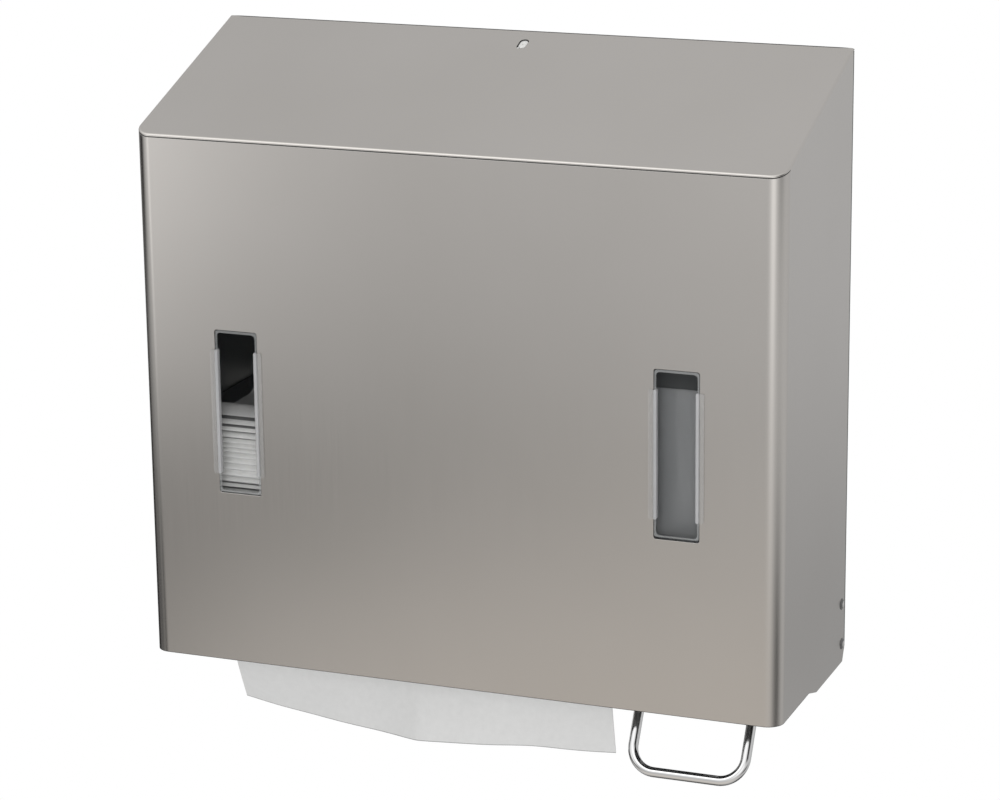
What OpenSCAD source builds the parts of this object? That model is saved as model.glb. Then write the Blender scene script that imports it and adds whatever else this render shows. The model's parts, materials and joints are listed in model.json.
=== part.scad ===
// Wall-mounted soap and paper towel dispenser with a tilting stainless steel hood.
// Millimetres. Heights are measured from the hood's lower front edge and depths from the
// wall, negative towards the user. The last step moves the origin to the middle of the
// four wall holes, on the wall.

/* [Hood] */
// Width of the hood over its sides
hood_w = 400; // [360:1:440]
// Depth of the hood from the wall to the front panel
hood_d = 139; // [126:1:152]
// Height of the front panel, up to the sloping top
front_h = 323.5; // [315:0.5:330]
// Height of the hood at the wall
back_h = 372.5; // [371:0.5:374]
// Thickness of the wrapped sheet
sheet_t = 1.2; // [0.8:0.1:1.5]
// Outer radius of the two upright bends
corner_r = 10; // [6:0.5:16]
// Thickness of the sloping top plate
top_t = 1.5; // [1:0.1:2]
// Gap between the hood's rear edge and the wall
rear_gap = 0.8; // [0.5:0.1:1.2]
// How far the tail of each side hangs below the front edge
tail_drop = 4.8; // [3:0.1:7]
// Length of the tail, from the wall
tail_l = 62; // [50:1:75]
// Length of the ramp from the tail to the lower edge
tail_run = 16; // [8:1:24]
// Width of the lip under the rear edge of the top, which the lock holds
lip_w = 70; // [50:1:90]
// Height of that lip below the top plate
lip_h = 8.5; // [7.5:0.1:9.5]

/* [Key hole] */
// Width of the oblong key hole in the top
key_w = 5.4; // [4.5:0.1:6.5]
// Length of the key hole along the slope
key_l = 11; // [9:0.5:14]
// Distance of the key hole from the wall
key_back = 17; // [15:0.5:19]

/* [Hinge] */
// Height of the hinge pins
pivot_z = 7.3; // [6.8:0.1:9]
// Distance of the hinge pins from the wall
pivot_back = 7.2; // [6.5:0.1:9]
// Distance between a hinge pin and the stop pin above it
stop_r = 25.9; // [22:0.1:32]
// Lean of the stop pin ahead of the hinge pin, hood closed
stop_lean = 3.3; // [0:0.1:8]
// Angle that the hood tilts open, until its corner rests on the wall
hood_tilt = 27; // [20:1:32]
// Diameter of the hinge and stop pins
pin_d = 5; // [4:0.1:6]
// Diameter of the pins' domed heads
pin_head_d = 7.4; // [6.5:0.1:9]
// Height of the domed heads
pin_head_h = 1.4; // [0.8:0.1:2]
// Gap between the hood's sides and the back plate's flanges
hinge_gap = 1.2; // [0.8:0.1:2]

/* [Back plate] */
// Thickness of the back plate
back_t = 1.2; // [1:0.1:2]
// Height of the back plate's lower edge
back_low = 1; // [0:0.5:2]
// Depth of the side flanges
flange_d = 16; // [12:1:18]
// Depth of the top flange
top_flange_d = 24; // [18:1:30]
// Diameter of the wall screw holes
wall_hole_d = 6.5; // [5:0.5:8]
// Distance of the wall holes from the back plate's sides
wall_hole_inset = 9.6; // [9:0.1:11]
// Height of the lower wall holes
wall_low = 62; // [58:1:70]
// Height of the upper wall holes
wall_high = 330; // [310:1:335]

/* [Windows] */
// Width of the two window slots
window_w = 27.5; // [22:0.5:36]
// Height of the window slots
window_h = 101; // [80:1:120]
// Height of the middle of the windows
window_mid = 157.2; // [150:0.1:165]
// Radius of the slots' corners
window_r = 1.5; // [0.5:0.5:4]
// Thickness of the clear pane
pane_t = 2; // [1.5:0.1:3]
// How far the pane reaches behind the sheet
pane_lap = 6; // [4:0.5:8]
// Width of the clip ribs inside the slot
rib_w = 2; // [1.5:0.1:3]
// How far the clip lips reach over the sheet
lip_reach = 3; // [2:0.1:4]
// Thickness of the clip lips
lip_t = 1.2; // [0.8:0.1:2]
// Length of slot left bare at each end of the lips
lip_end = 12; // [6:0.5:16]
// Gap between a window and the sheet
window_gap = 0.1; // [0.05:0.05:0.2]

/* [Towels] */
// Distance of the towel guide's inner face from the hood's left side
guide_inset = 25.5; // [25:0.5:45]
// Space between the towels and the hood's front face
towel_room = 15.5; // [14:0.5:30]
// Height of the bundle in the magazine
stack_h = 138; // [60:1:150]
// Thickness of one folded layer
fold_t = 4.6; // [3:0.1:6]
// Distance of the bundle from the wall
stack_back = 8.5; // [7:0.5:10]
// Gap at each end of the bundle
stack_gap = 1.5; // [1:0.1:3]
// Width of the slot that the towels are drawn through
slot_w = 52; // [40:1:60]
// Distance of the slot's middle from the wall
slot_back = 85; // [78:1:88]
// Height of the magazine's floor
floor_z = 13; // [11:0.5:15]
// Thickness of the magazine's sheets
mag_t = 1.2; // [1:0.1:1.5]
// Height of the floor's front lip
floor_lip = 12; // [8:1:20]
// Height of the towel guide
guide_h = 240; // [180:1:280]
// Height of the divider
divider_h = 300; // [260:1:310]
// Length of the hanging towel below the floor
hang = 70; // [50:1:80]
// How far the hanging towel's middle swings forward
towel_bulge = 9.3; // [4:0.1:14]
// Thickness of the hanging towel
towel_t = 0.7; // [0.5:0.1:1.2]

/* [Soap bottle] */
// Distance of the soap unit's middle from the hood's right side
soap_inset = 62.5; // [60:0.5:66]
// Distance of the bottle from the wall
bottle_back = 19; // [17:0.5:22]
// Width of the bottle
bottle_w = 88; // [76:1:92]
// Space between the bottle and the hood's front face
bottle_room = 16; // [14:0.5:22]
// Height of the bottle above its shelf
bottle_h = 204; // [150:1:215]
// Radius of the bottle's upright edges
bottle_r = 12; // [6:1:20]
// Height of the bottle's tapered shoulder
shoulder_h = 22; // [12:1:30]
// Thickness of the bottle's wall
bottle_t = 1.6; // [1.2:0.1:2.5]
// Outer diameter of the bottle's neck
neck_d = 38; // [34:0.5:40]
// Thickness of the neck's wall
neck_t = 3; // [2:0.1:3.5]
// Height of the soap above the shelf
soap_level = 103; // [40:1:140]

/* [Pump] */
// Height of the shelf's upper face
shelf_z = 92.5; // [92:0.5:96]
// Bore of the pump cylinder
bore_d = 16; // [14:0.5:18]
// Wall of the pump cylinder
cyl_t = 3; // [2:0.1:3.5]
// Diameter of the piston stem
stem_d = 12; // [9:0.5:12]
// Diameter of the passage through the stem
stem_bore = 4; // [3:0.5:5]
// Diameter of the collar that the lever lifts
collar_d = 34; // [32:1:40]
// Height of the nozzle's tip
nozzle_z = 12; // [10:0.5:13]
// Diameter of the inlet ball
ball_d = 6; // [5.5:0.5:7]
// Wire diameter of the pump spring
spring_wire = 1.2; // [0.8:0.1:1.4]
// Turns of the pump spring
spring_turns = 6; // [5:1:8]
// Running clearance of pins and pistons, on the radius
run_gap = 0.05; // [0.03:0.01:0.08]

/* [Lever] */
// Diameter of the lever's wire
wire_d = 6; // [5:0.1:6.5]
// Distance between the lever's legs
leg_gap = 69.6; // [66:0.1:72]
// Bend radius of the wire's middle line
wire_bend = 15; // [10:0.5:20]
// Distance of the lever's bar ahead of its axle
bar_ahead = 8.5; // [6:0.5:9]
// Depth of the bar below the hood's front edge
bar_drop = 44.5; // [40:0.5:46]
// Lean of the legs from the upright
leg_lean = 30; // [27:1:32]
// Distance of the axle ahead of the pump
lever_arm = 41; // [39:0.5:43]
// Height of the axle
axle_z = 36; // [34:0.5:37]
// Diameter of the axle
axle_d = 6; // [5:0.1:7]
// Outer diameter of the rocker's hub
hub_d = 16; // [13:0.5:17]
// Thickness of the rocker's arms
arm_t = 10; // [9:0.5:11]
// Radius of the lugs that lift the collar
lug_r = 4; // [3:0.5:5]
// Gap between the lugs and the collar at rest
lug_gap = 0.3; // [0.2:0.05:0.5]
// Thickness of the carrier's sheet
carrier_t = 2; // [1.5:0.1:2.5]

/* [Lock] */
// Height of the space between the top flange and the hood's top, at the catch's pin
lock_room = 12.3; // [12:0.1:13]
// Distance of the catch's pin from the wall
catch_back = 30; // [28:0.5:34]
// Height of the catch's pin above the top flange
catch_rise = 6; // [5.6:0.1:6.4]
// Width of the catch
catch_w = 24; // [18:1:30]
// Diameter of the catch's pin
catch_pin_d = 3; // [2:0.1:3.5]

/* [Hidden] */
$fn = 64;
// Overlap of a cutting shape past the face it cuts
cut = 1;
// Clearance between still pieces that are slid together
slip = 0.1;

// The sloping top and the space inside the hood
slope = atan((back_h - front_h) / hood_d);
top_drop = top_t / cos(slope);
inner_half = hood_w / 2 - sheet_t;
plate_half = inner_half - hinge_gap;
mount_z = (wall_low + wall_high) / 2;
lip_low = slope_z(-rear_gap) - top_drop - lip_h;
back_top = slope_z(-catch_back) - top_drop - lock_room;

// Hinge: pins, arc slot and the ear that holds them
pin_r = pin_d / 2;
pin_inner_h = 1.2;
pin_inner_rim = 1.2;
pin_play = 0.3;
ear_edge = 6;
ear_d = pivot_back + stop_r * sin(stop_lean + hood_tilt) + pin_r + ear_edge;
ear_top = pivot_z + stop_r + pin_r + ear_edge;
slot_play = 0.7;
wall_play = 0.3;
washer_t = hinge_gap - 2 * slip;
washer_rim = 3;

// Back plate: corner cuts of its flanges and the tongue under the lock
flange_cut = 10;
top_flange_inset = 20;

// Soap unit, on the pump's upright axis
soap_x = hood_w / 2 - soap_inset;
bottle_d = hood_d - bottle_room - bottle_back;
pump_back = bottle_back + bottle_d / 2;
pump_y = -pump_back;
bore_r = bore_d / 2;
cyl_r = bore_r + cyl_t;
stem_r = stem_d / 2;
neck_r = neck_d / 2;
neck_rim = 6;
cap_wall = 4;
cap_floor = 4;
cap_h = 24;
cap_gap = 0.5;
cap_r = neck_r + slip + cap_wall;
cap_top = shelf_z - carrier_t - cap_gap;
cap_low = cap_top - cap_h;
grip_count = 24;
grip_r = 1;
rim_t = 2;
rim_z = cap_low + cap_floor;
gasket_t = 1.5;
neck_low = rim_z + rim_t + gasket_t;
bottle_top = shelf_z + bottle_h;
bottle_reach = norm([bottle_w, bottle_d]) / 2;
shoulder_rate = (bottle_reach - neck_r - neck_rim) / shoulder_h;

// Pump cylinder, valve and piston
guide_l = 10;
guide_rim = 2;
cyl_l = 68;
cyl_tail = 6;
cyl_low = cap_low - cyl_tail;
cyl_top = cyl_low + cyl_l;
cyl_roof = 4;
port_r = 2.5;
cage_t = 2;
cage_wall = 0.8;
cage_h = 2.5;
cage_holes = 6;
cage_hole_r = 1;
ball_gap = 0.2;
ball_rise = 1.2;
ball_r = ball_d / 2;
ball_z = cyl_top - cyl_roof - ball_rise - ball_gap - sqrt(ball_r * ball_r - port_r * port_r);
cage_z = ball_z - ball_r - ball_gap - cage_t;
collar_z = axle_z + lug_r + lug_gap;
collar_t = 4;
piston_h = 10;
piston_rest = 22;
piston_top = cyl_low + guide_l + piston_rest;
groove_h = 3;
groove_d = 1.8;
groove_z = piston_top - (piston_h + groove_h) / 2;
spring_gap = 1;
spring_r = bore_r - spring_gap - spring_wire / 2;

// Nozzle and the valve that keeps it from dripping
nozzle_h = 20;
nozzle_wall = 2.5;
nozzle_taper = 10;
socket_h = 6;
socket_z = nozzle_z + nozzle_h - socket_h;
valve_rim_t = 2;
valve_rim_r = stem_r - 1;
valve_r = 3.2;
valve_l = 7.5;
valve_tip_r = 1.2;
valve_slit_r = 0.4;
outlet_r = 2;
outlet_t = 2;

// Lever: rocker, wire and axle
wire_r = wire_d / 2;
axle_r = axle_d / 2;
axle_back = pump_back + lever_arm;
bar_back = axle_back + bar_ahead;
hub_r = hub_d / 2;
arm_x = leg_gap / 2;
arm_half_h = 8;
lug_lap = 4;
lug_end = collar_d / 2 - lug_lap;
boss_wall = 3;
boss_z = 10;
leg_stop = 4;
leg_top_z = axle_z - leg_stop;
leg_l = (leg_top_z + bar_drop) / cos(leg_lean);
cheek_gap = 1.2;
cheek_in = arm_x + arm_t / 2 + cheek_gap;
cheek_out = cheek_in + carrier_t;
clip_t = 0.8;
clip_rim = 3;
axle_end = 1.2;
axle_half = cheek_out + clip_t + axle_end;

// Carrier of the bottle, pump and lever
neck_play = 0.5;
shelf_slot = neck_d + 2 * neck_play;
shelf_reach = 34;
shelf_front = pump_back + shelf_reach;
cheek_round = 10;
cheek_drop = 36;
plate_rise = 46;
nut_x = 30;
nut_rises = [12, 34];
stud_r = 2.5;
stud_l = 9;
nut_r = 4.6;
nut_t = 4;

// Towel magazine, between the soap unit and the hood's left side
divider_off = 59;
divider_x = soap_x - divider_off;
guide_x = -hood_w / 2 + guide_inset;
stack_right = divider_x - stack_gap;
stack_left = guide_x + stack_gap;
stack_x = (stack_left + stack_right) / 2;
towel_w = stack_right - stack_left;
floor_top = floor_z + mag_t;
stack_front = hood_d - towel_room;
floor_over = 7;
wall_over = 4;
floor_front = stack_front + floor_over;
wall_front = stack_front + wall_over;
strip = 13;
slot_r = 6;
rear_h = 16;
rear_flange = 14;
wall_cut = 50;
seat = 0.1;
nose = 1.4;
layers = max(2, round(stack_h / fold_t));
layer_t = stack_h / layers;
exit_gap = 0.3;
left_swing = 20.4;
right_swing = 12.6;
bulge_power = 1.2;
droop_power = 1.4;

// Rivets
rivet_r = 2;
rivet_head_r = 3.6;
rivet_head_h = 1.4;
rivet_low = 60;
rivet_high = 40;
floor_rivets = 4;
floor_rivet_inset = 30;

// Lock
catch_y = -catch_back;
catch_z = back_top + catch_rise;
catch_pin_r = catch_pin_d / 2;
hub_wall = 2.5;
ear_wall = 3;
bracket_t = 1.2;
bracket_gap = 0.4;
bracket_d = 12;
bracket_foot = 12;
bracket_half = catch_w / 2 + bracket_gap;
foot_x = bracket_half + bracket_t + bracket_foot;
tongue_edge = 2;
tongue_half = foot_x + tongue_edge;
tongue_d = catch_back + bracket_d / 2 + tongue_edge;
catch_pin_end = 1;
nose_gap = 1;
catch_top = lip_low - nose_gap;
pad_drop = 6;
pad_z = slope_z(-key_back) - top_drop - pad_drop;
nose_l = 5;
nose_cut = 2;
nose_foot = 1;
lip_gap = 0.9;
nose_rear = rear_gap + top_t + lip_gap;
key_slot_w = 1.6;
key_slot_l = 6;
key_slot_h = 2;
coil_back = 13;
coil_r = 2.6;
coil_wire = 0.7;
coil_turns = 4;
coil_seat = 0.05;

// Height of the top's upper face at depth y
function slope_z(y) = back_h + (back_h - front_h) / hood_d * y;

// Point at distance r from the hinge pin, leaning a degrees ahead of the upright
function about_pivot(r, a) = [-pivot_back - r * sin(a), pivot_z + r * cos(a)];

// The hood's lower rear corner: a line that lies along the wall when the hood is open
function corner_y(z) =
  -pivot_back + (pivot_back - wall_play + sin(hood_tilt) * (z - pivot_z)) / cos(hood_tilt);
function corner_z(y) =
  pivot_z + ((y + pivot_back) * cos(hood_tilt) - pivot_back + wall_play) / sin(hood_tilt);

// Depth of the lever's legs at height z
function leg_y(z) = -bar_back + (z + bar_drop) * tan(leg_lean);

// Moves the origin to the middle of the wall holes
module in_frame() {
  translate([0, 0, -mount_z]) children();
}

// Extrudes a side view, drawn as depth and height, from x0 to x1
module along_x(x0, x1) {
  translate([x0, 0, 0]) rotate([90, 0, 90]) linear_extrude(x1 - x0) children();
}

// Extrudes a front view, drawn as width and height, from depth y0 back to y1
module along_y(y0, y1) {
  translate([0, y1, 0]) rotate([90, 0, 0]) linear_extrude(y1 - y0) children();
}

// Round bar along x from x0 to x1
module bar_x(x0, x1, y, z, r) {
  translate([x0, y, z]) rotate([0, 90, 0]) cylinder(h = x1 - x0, r = r);
}

// Round bar along y from y0 to y1
module bar_y(y0, y1, x, z, r) {
  translate([x, y0, z]) rotate([-90, 0, 0]) cylinder(h = y1 - y0, r = r);
}

// Both sides of a piece that is drawn on the right of x
module both_sides(x = 0) {
  for (s = [0, 1]) translate([x, 0, 0]) mirror([s, 0, 0]) children();
}

// Places children on the pump's axis
module on_pump() {
  translate([soap_x, pump_y, 0]) children();
}

// Upright cylinder from z0 to z1
module rod(z0, z1, r) {
  translate([0, 0, z0]) cylinder(h = z1 - z0, r = r);
}

// Upright tube from z0 to z1
module tube(z0, z1, outer, inner) {
  difference() {
    rod(z0, z1, outer);
    rod(z0 - cut, z1 + cut, inner);
  }
}

// Rectangle with round corners, centred
module round_rect(w, h, r) {
  square([w - 2 * r, h], center = true);
  square([w, h - 2 * r], center = true);
  for (x = [-1, 1], y = [-1, 1])
    translate([x * (w / 2 - r), y * (h / 2 - r)]) circle(r = r);
}

// Round-ended slot, centred, running along y
module round_slot(w, l) {
  square([w, l - w], center = true);
  for (s = [-1, 1]) translate([0, s * (l - w) / 2]) circle(d = w);
}

// Half outline of a low dome of radius r and height h, standing on the axis
module dome(r, h) {
  sphere_r = (r * r + h * h) / (2 * h);
  intersection() {
    translate([0, h - sphere_r]) circle(r = sphere_r);
    square([r, h]);
  }
}

// Domed rivet, its head upwards and its shank below z = 0
module rivet(grip) {
  rotate_extrude() {
    dome(rivet_head_r, rivet_head_h);
    translate([0, -grip]) square([rivet_r, grip]);
  }
}

// One round wire wound as a spring round the z axis, from z0 to z1
module spring(r, wire, turns, z0, z1) {
  sides = 6;
  rings = 8;
  steps = rings * turns;
  rise = (z1 - z0 - wire) / steps;
  points = [for (i = [0:steps], j = [0:sides - 1])
    let (a = 360 * i / rings, b = 360 * j / sides, q = r + wire / 2 * cos(b))
    [q * cos(a), q * sin(a), z0 + wire / 2 + rise * i + wire / 2 * sin(b)]];
  walls = [for (i = [0:steps - 1], j = [0:sides - 1])
    let (a = i * sides + j, b = i * sides + (j + 1) % sides)
    each [[a, a + sides, b], [b, a + sides, b + sides]]];
  last = steps * sides;
  ends = [for (j = [1:sides - 2]) each [[0, j, j + 1], [last, last + j + 1, last + j]]];
  echo(least_gap_between_turns = rings * rise - wire);
  polyhedron(points, concat(walls, ends));
}

// Outline of the hood seen from above, shrunk by inset, ending at depth rear
module hood_plan(inset, rear) {
  half = hood_w / 2 - inset;
  front = -hood_d + inset;
  r = corner_r - inset;
  translate([-half, front + r]) square([2 * half, rear - front - r]);
  translate([-half + r, front]) square([2 * (half - r), rear - front]);
  for (s = [-1, 1]) translate([s * (half - r), front + r]) circle(r = r);
}

// Side view of the wrapped sheet: level front part, ramp, tail and the cut corner
module wrap_side() {
  front = -hood_d - cut;
  low = -tail_drop;
  polygon([[front, 0], [-tail_l - tail_run, 0], [-tail_l, low], [corner_y(low), low],
    [-rear_gap, corner_z(-rear_gap)], [-rear_gap, slope_z(-rear_gap) - top_drop],
    [front, slope_z(front) - top_drop]]);
}

// Front and sides of the hood, one sheet bent round two upright edges
module hood_wrap() {
  low = -tail_drop - cut;
  tall = back_h + tail_drop + 2 * cut;
  stop = about_pivot(stop_r, stop_lean);
  color("silver") difference() {
    intersection() {
      translate([0, 0, low]) linear_extrude(tall) hood_plan(0, -rear_gap);
      along_x(-hood_w / 2 - cut, hood_w / 2 + cut) wrap_side();
    }
    translate([0, 0, low - cut]) linear_extrude(tall + 2 * cut) hood_plan(sheet_t, cut);
    for (s = [-1, 1]) translate([s * soap_x, 0, window_mid])
      along_y(-hood_d - cut, -hood_d + sheet_t + cut) round_rect(window_w, window_h, window_r);
    bar_x(-hood_w, hood_w, -pivot_back, pivot_z, pin_r);
    bar_x(-hood_w, hood_w, stop[0], stop[1], pin_r);
  }
}

// Sloping plate welded on the wrapped sheet, with the lip for the lock at its rear
module hood_top() {
  front = -hood_d - cut;
  lip_y = -rear_gap - top_t;
  color("gainsboro") difference() {
    union() {
      intersection() {
        linear_extrude(back_h + cut) hood_plan(0, -rear_gap);
        along_x(-hood_w, hood_w) polygon([[front, slope_z(front)], [0, slope_z(0)],
          [0, slope_z(0) - top_drop], [front, slope_z(front) - top_drop]]);
      }
      along_x(-lip_w / 2, lip_w / 2) polygon([[lip_y, lip_low], [-rear_gap, lip_low],
        [-rear_gap, slope_z(-rear_gap) - top_drop / 2],
        [lip_y, slope_z(lip_y) - top_drop / 2]]);
    }
    translate([0, -key_back, slope_z(-key_back)]) rotate([slope, 0, 0])
      linear_extrude(4 * top_t, center = true) round_slot(key_w, key_l);
  }
}

// Clear window that clips over both long edges of its slot
module window(x) {
  half = window_w / 2 - window_gap;
  inside = -hood_d + sheet_t + window_gap;
  outside = -hood_d - window_gap;
  rib_h = window_h - 2 * lip_end;
  color("lightcyan", 0.5) translate([x, 0, window_mid]) {
    along_y(inside, inside + pane_t)
      round_rect(window_w + 2 * pane_lap, window_h + 2 * pane_lap, pane_lap / 2);
    for (s = [-1, 1]) {
      along_y(outside - lip_t, inside + pane_t / 2)
        translate([s * (half - rib_w / 2), 0]) square([rib_w, rib_h], center = true);
      along_y(outside - lip_t, outside)
        translate([s * (half + (lip_reach - rib_w) / 2), 0])
        square([rib_w + lip_reach, rib_h], center = true);
    }
  }
}

// Window in front of the towels
module towel_window() { window(-soap_x); }

// Window in front of the soap bottle
module soap_window() { window(soap_x); }

// A pin through each side of the hood and its flange, domed outside and riveted inside
module side_pins(p) {
  shank = sheet_t + hinge_gap + back_t + pin_play;
  color("dimgray") both_sides() translate([hood_w / 2, p[0], p[1]]) rotate([0, 90, 0])
    rotate_extrude() {
      dome(pin_head_d / 2, pin_head_h);
      translate([0, -shank]) square([pin_r, shank]);
      translate([0, -shank - pin_inner_h]) square([pin_r + pin_inner_rim, pin_inner_h]);
    }
}

// Pins that the hood tilts on
module hinge_pins() { side_pins([-pivot_back, pivot_z]); }

// Pins that run in the arc slots
module stop_pins() { side_pins(about_pivot(stop_r, stop_lean)); }

// Plastic washers that space the hood's sides from the flanges
module hinge_washers() {
  color("white") both_sides() translate([plate_half + slip, -pivot_back, pivot_z])
    rotate([0, 90, 0]) tube(0, washer_t, pin_r + washer_rim, pin_r + run_gap);
}

// Arc slot that the stop pin runs in, with relief holes at its ends, seen from the side
module arc_slot() {
  half = pin_r + slip;
  from = stop_lean - slot_play;
  to = stop_lean + hood_tilt + slot_play;
  far = 2 * stop_r;
  intersection() {
    translate([-pivot_back, pivot_z]) difference() {
      circle(r = stop_r + half);
      circle(r = stop_r - half);
    }
    polygon([[-pivot_back, pivot_z], about_pivot(far, from), about_pivot(far, to)]);
  }
  for (a = [from, to]) translate(about_pivot(stop_r, a)) circle(r = half + slip);
}

// Side view of a flange: narrow above, with a deep ear round the hinge
module flange_side() {
  polygon([[0, back_low], [-ear_d, back_low], [-ear_d, ear_top],
    [-flange_d, ear_top + ear_d - flange_d], [-flange_d, back_top - flange_cut],
    [-flange_d + flange_cut, back_top], [0, back_top]]);
}

// Places of the rivets that hold the guide, the divider and the floor
function rivet_places() = concat(
  [for (z = [rivet_low, guide_h - rivet_high]) [guide_x + rear_flange / 2, z]],
  [for (z = [rivet_low, divider_h - rivet_high]) [divider_x - rear_flange / 2, z]],
  [for (i = [0:floor_rivets - 1])
    [stack_left + floor_rivet_inset + i * (towel_w - 2 * floor_rivet_inset) / (floor_rivets - 1),
    floor_top + rear_h / 2]]);

// Holes for those rivets, from depth y0 to y1
module rivet_holes(y0, y1) {
  for (p = rivet_places()) bar_y(y0, y1, p[0], p[1], rivet_r + run_gap);
}

// Places children where the lock bracket's rivets go, at height z
module at_bracket_rivets(z) {
  for (s = [-1, 1])
    translate([s * (bracket_half + bracket_t + bracket_foot / 2), catch_y, z]) children();
}

// Places children at the four studs that hold the carrier, at depth y
module at_studs(y) {
  for (s = [-1, 1], rise = nut_rises)
    translate([soap_x + s * nut_x, y, shelf_z + rise]) rotate([90, 0, 0]) children();
}

// Plate on the wall, with flanges, welded studs and the wall screw holes
module back_plate() {
  low = back_top - back_t;
  tall = back_top - back_low;
  hole_x = plate_half - wall_hole_inset;
  color("lightgray") difference() {
    union() {
      translate([-plate_half, -back_t, back_low]) cube([2 * plate_half, back_t, tall]);
      both_sides() along_x(plate_half - back_t, plate_half) flange_side();
      translate([-plate_half + top_flange_inset, -top_flange_d, low])
        cube([2 * (plate_half - top_flange_inset), top_flange_d, back_t]);
      translate([-tongue_half, -tongue_d, low]) cube([2 * tongue_half, tongue_d, back_t]);
      at_studs(-back_t / 2) cylinder(h = stud_l + back_t / 2, r = stud_r);
    }
    for (s = [-1, 1], z = [wall_low, wall_high])
      bar_y(-back_t - cut, cut, s * hole_x, z, wall_hole_d / 2);
    bar_x(-hood_w, hood_w, -pivot_back, pivot_z, pin_r + run_gap);
    along_x(-hood_w, hood_w) arc_slot();
    rivet_holes(-back_t - cut, cut);
    at_bracket_rivets(low - cut) cylinder(h = back_t + 2 * cut, r = rivet_r + run_gap);
  }
}

// Sheet bracket on the top flange, with two ears for the catch's pin
module catch_bracket() {
  ear_r = catch_pin_r + ear_wall;
  color("lightgray") difference() {
    union() {
      translate([-foot_x, catch_y - bracket_d / 2, back_top])
        cube([2 * foot_x, bracket_d, bracket_t]);
      both_sides() along_x(bracket_half, bracket_half + bracket_t) {
        translate([catch_y - ear_r, back_top]) square([2 * ear_r, catch_rise]);
        translate([catch_y, catch_z]) circle(r = ear_r);
      }
    }
    bar_x(-foot_x, foot_x, catch_y, catch_z, catch_pin_r + run_gap);
    at_bracket_rivets(back_top - cut)
      cylinder(h = bracket_t + 2 * cut, r = rivet_r + run_gap);
  }
}

// Rivets that hold the bracket
module bracket_rivets() {
  color("darkgray") at_bracket_rivets(back_top + bracket_t) rivet(bracket_t + back_t);
}

// White catch: hub, pad under the key hole and the nose that stops the hood's lip,
// shown pressed down as the key holds it
module lock_catch() {
  nose_front = nose_rear + nose_l;
  color("white") difference() {
    along_x(-catch_w / 2, catch_w / 2) {
      translate([catch_y, catch_z]) circle(r = catch_pin_r + hub_wall);
      polygon([[catch_y, catch_z], [-nose_rear - nose_cut, catch_z],
        [-nose_rear, catch_z + nose_cut], [-nose_rear, catch_top], [-nose_front, catch_top],
        [-nose_front - nose_foot, pad_z], [-key_back - key_l / 2, pad_z],
        [catch_y, catch_z + catch_pin_r + hub_wall]]);
    }
    bar_x(-catch_w, catch_w, catch_y, catch_z, catch_pin_r + run_gap);
    translate([-key_slot_w / 2, -key_back - key_slot_l / 2, pad_z - key_slot_h])
      cube([key_slot_w, key_slot_l, key_slot_h + cut]);
  }
}

// Pin that the catch turns on
module catch_pin() {
  half = bracket_half + bracket_t + catch_pin_end;
  color("dimgray") bar_x(-half, half, catch_y, catch_z, catch_pin_r);
}

// Spring that lifts the catch behind the lip
module catch_spring() {
  color("gray") translate([0, -coil_back, 0])
    spring(coil_r, coil_wire, coil_turns, back_top + coil_seat, catch_z - coil_seat);
}

// Floor of the towel magazine, with the slot that the towels are drawn through
module towel_floor() {
  x0 = guide_x - strip;
  x1 = divider_x + strip;
  color("lightgray") difference() {
    union() {
      translate([x0, -floor_front, floor_z]) cube([x1 - x0, floor_front - back_t, mag_t]);
      translate([guide_x, -floor_front, floor_z])
        cube([divider_x - guide_x, mag_t, mag_t + floor_lip]);
      translate([guide_x + rear_flange, -back_t - mag_t, floor_z])
        cube([divider_x - guide_x - 2 * rear_flange, mag_t, mag_t + rear_h]);
    }
    translate([stack_x, -slot_back, floor_z - cut]) linear_extrude(mag_t + 2 * cut)
      round_rect(towel_w + stack_gap, slot_w, slot_r);
    rivet_holes(-back_t - mag_t - cut, cut);
  }
}

// Upright wall of the magazine from x0, cut back at its upper front corner, with a
// riveted flange at its rear from x1 to x1 + rear_flange
module magazine_wall(x0, x1, high) {
  difference() {
    union() {
      along_x(x0, x0 + mag_t) polygon([[-back_t, floor_top], [-wall_front, floor_top],
        [-wall_front, high - wall_cut], [-wall_front + wall_cut, high], [-back_t, high]]);
      translate([x1, -back_t - mag_t, floor_top]) cube([rear_flange, mag_t, high - floor_top]);
    }
    rivet_holes(-back_t - mag_t - cut, cut);
  }
}

// Left wall of the magazine
module towel_guide() {
  color("lightgray") magazine_wall(guide_x - mag_t, guide_x - mag_t / 2, guide_h);
}

// Right wall of the magazine, between towels and soap
module divider() {
  color("lightgray") magazine_wall(divider_x, divider_x + mag_t / 2 - rear_flange, divider_h);
}

// Rivets that hold the magazine on the back plate
module panel_rivets() {
  color("darkgray") for (p = rivet_places())
    translate([p[0], -back_t - mag_t, p[1]]) rotate([90, 0, 0]) rivet(back_t + mag_t - slip);
}

// Depth of a folded edge at share t of its layer's height
function fold_in(t) = nose * (1 - sin(180 * t));

// Bundle of folded towels, its layers rounded over at the folds
module towel_stack() {
  shares = [0.06, 0.25, 0.5, 0.75, 0.94];
  low = floor_top + seat;
  front = [for (i = [0:layers - 1], t = shares)
    [-stack_front + fold_in(t), low + (i + t) * layer_t]];
  rear = [for (i = [layers - 1:-1:0], t = shares)
    [-stack_back - fold_in(t), low + (i + 1 - t) * layer_t]];
  color("whitesmoke") along_x(stack_left, stack_right) polygon(concat(front, rear));
}

// Swing of the towel's lower edge at u, which runs across it from -1 to 1: forward at the
// middle, back at the ends
function swing(u) = let (away = pow(abs(u), bulge_power))
  (u < 0 ? left_swing : right_swing) * away - towel_bulge * (1 - away);

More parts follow.
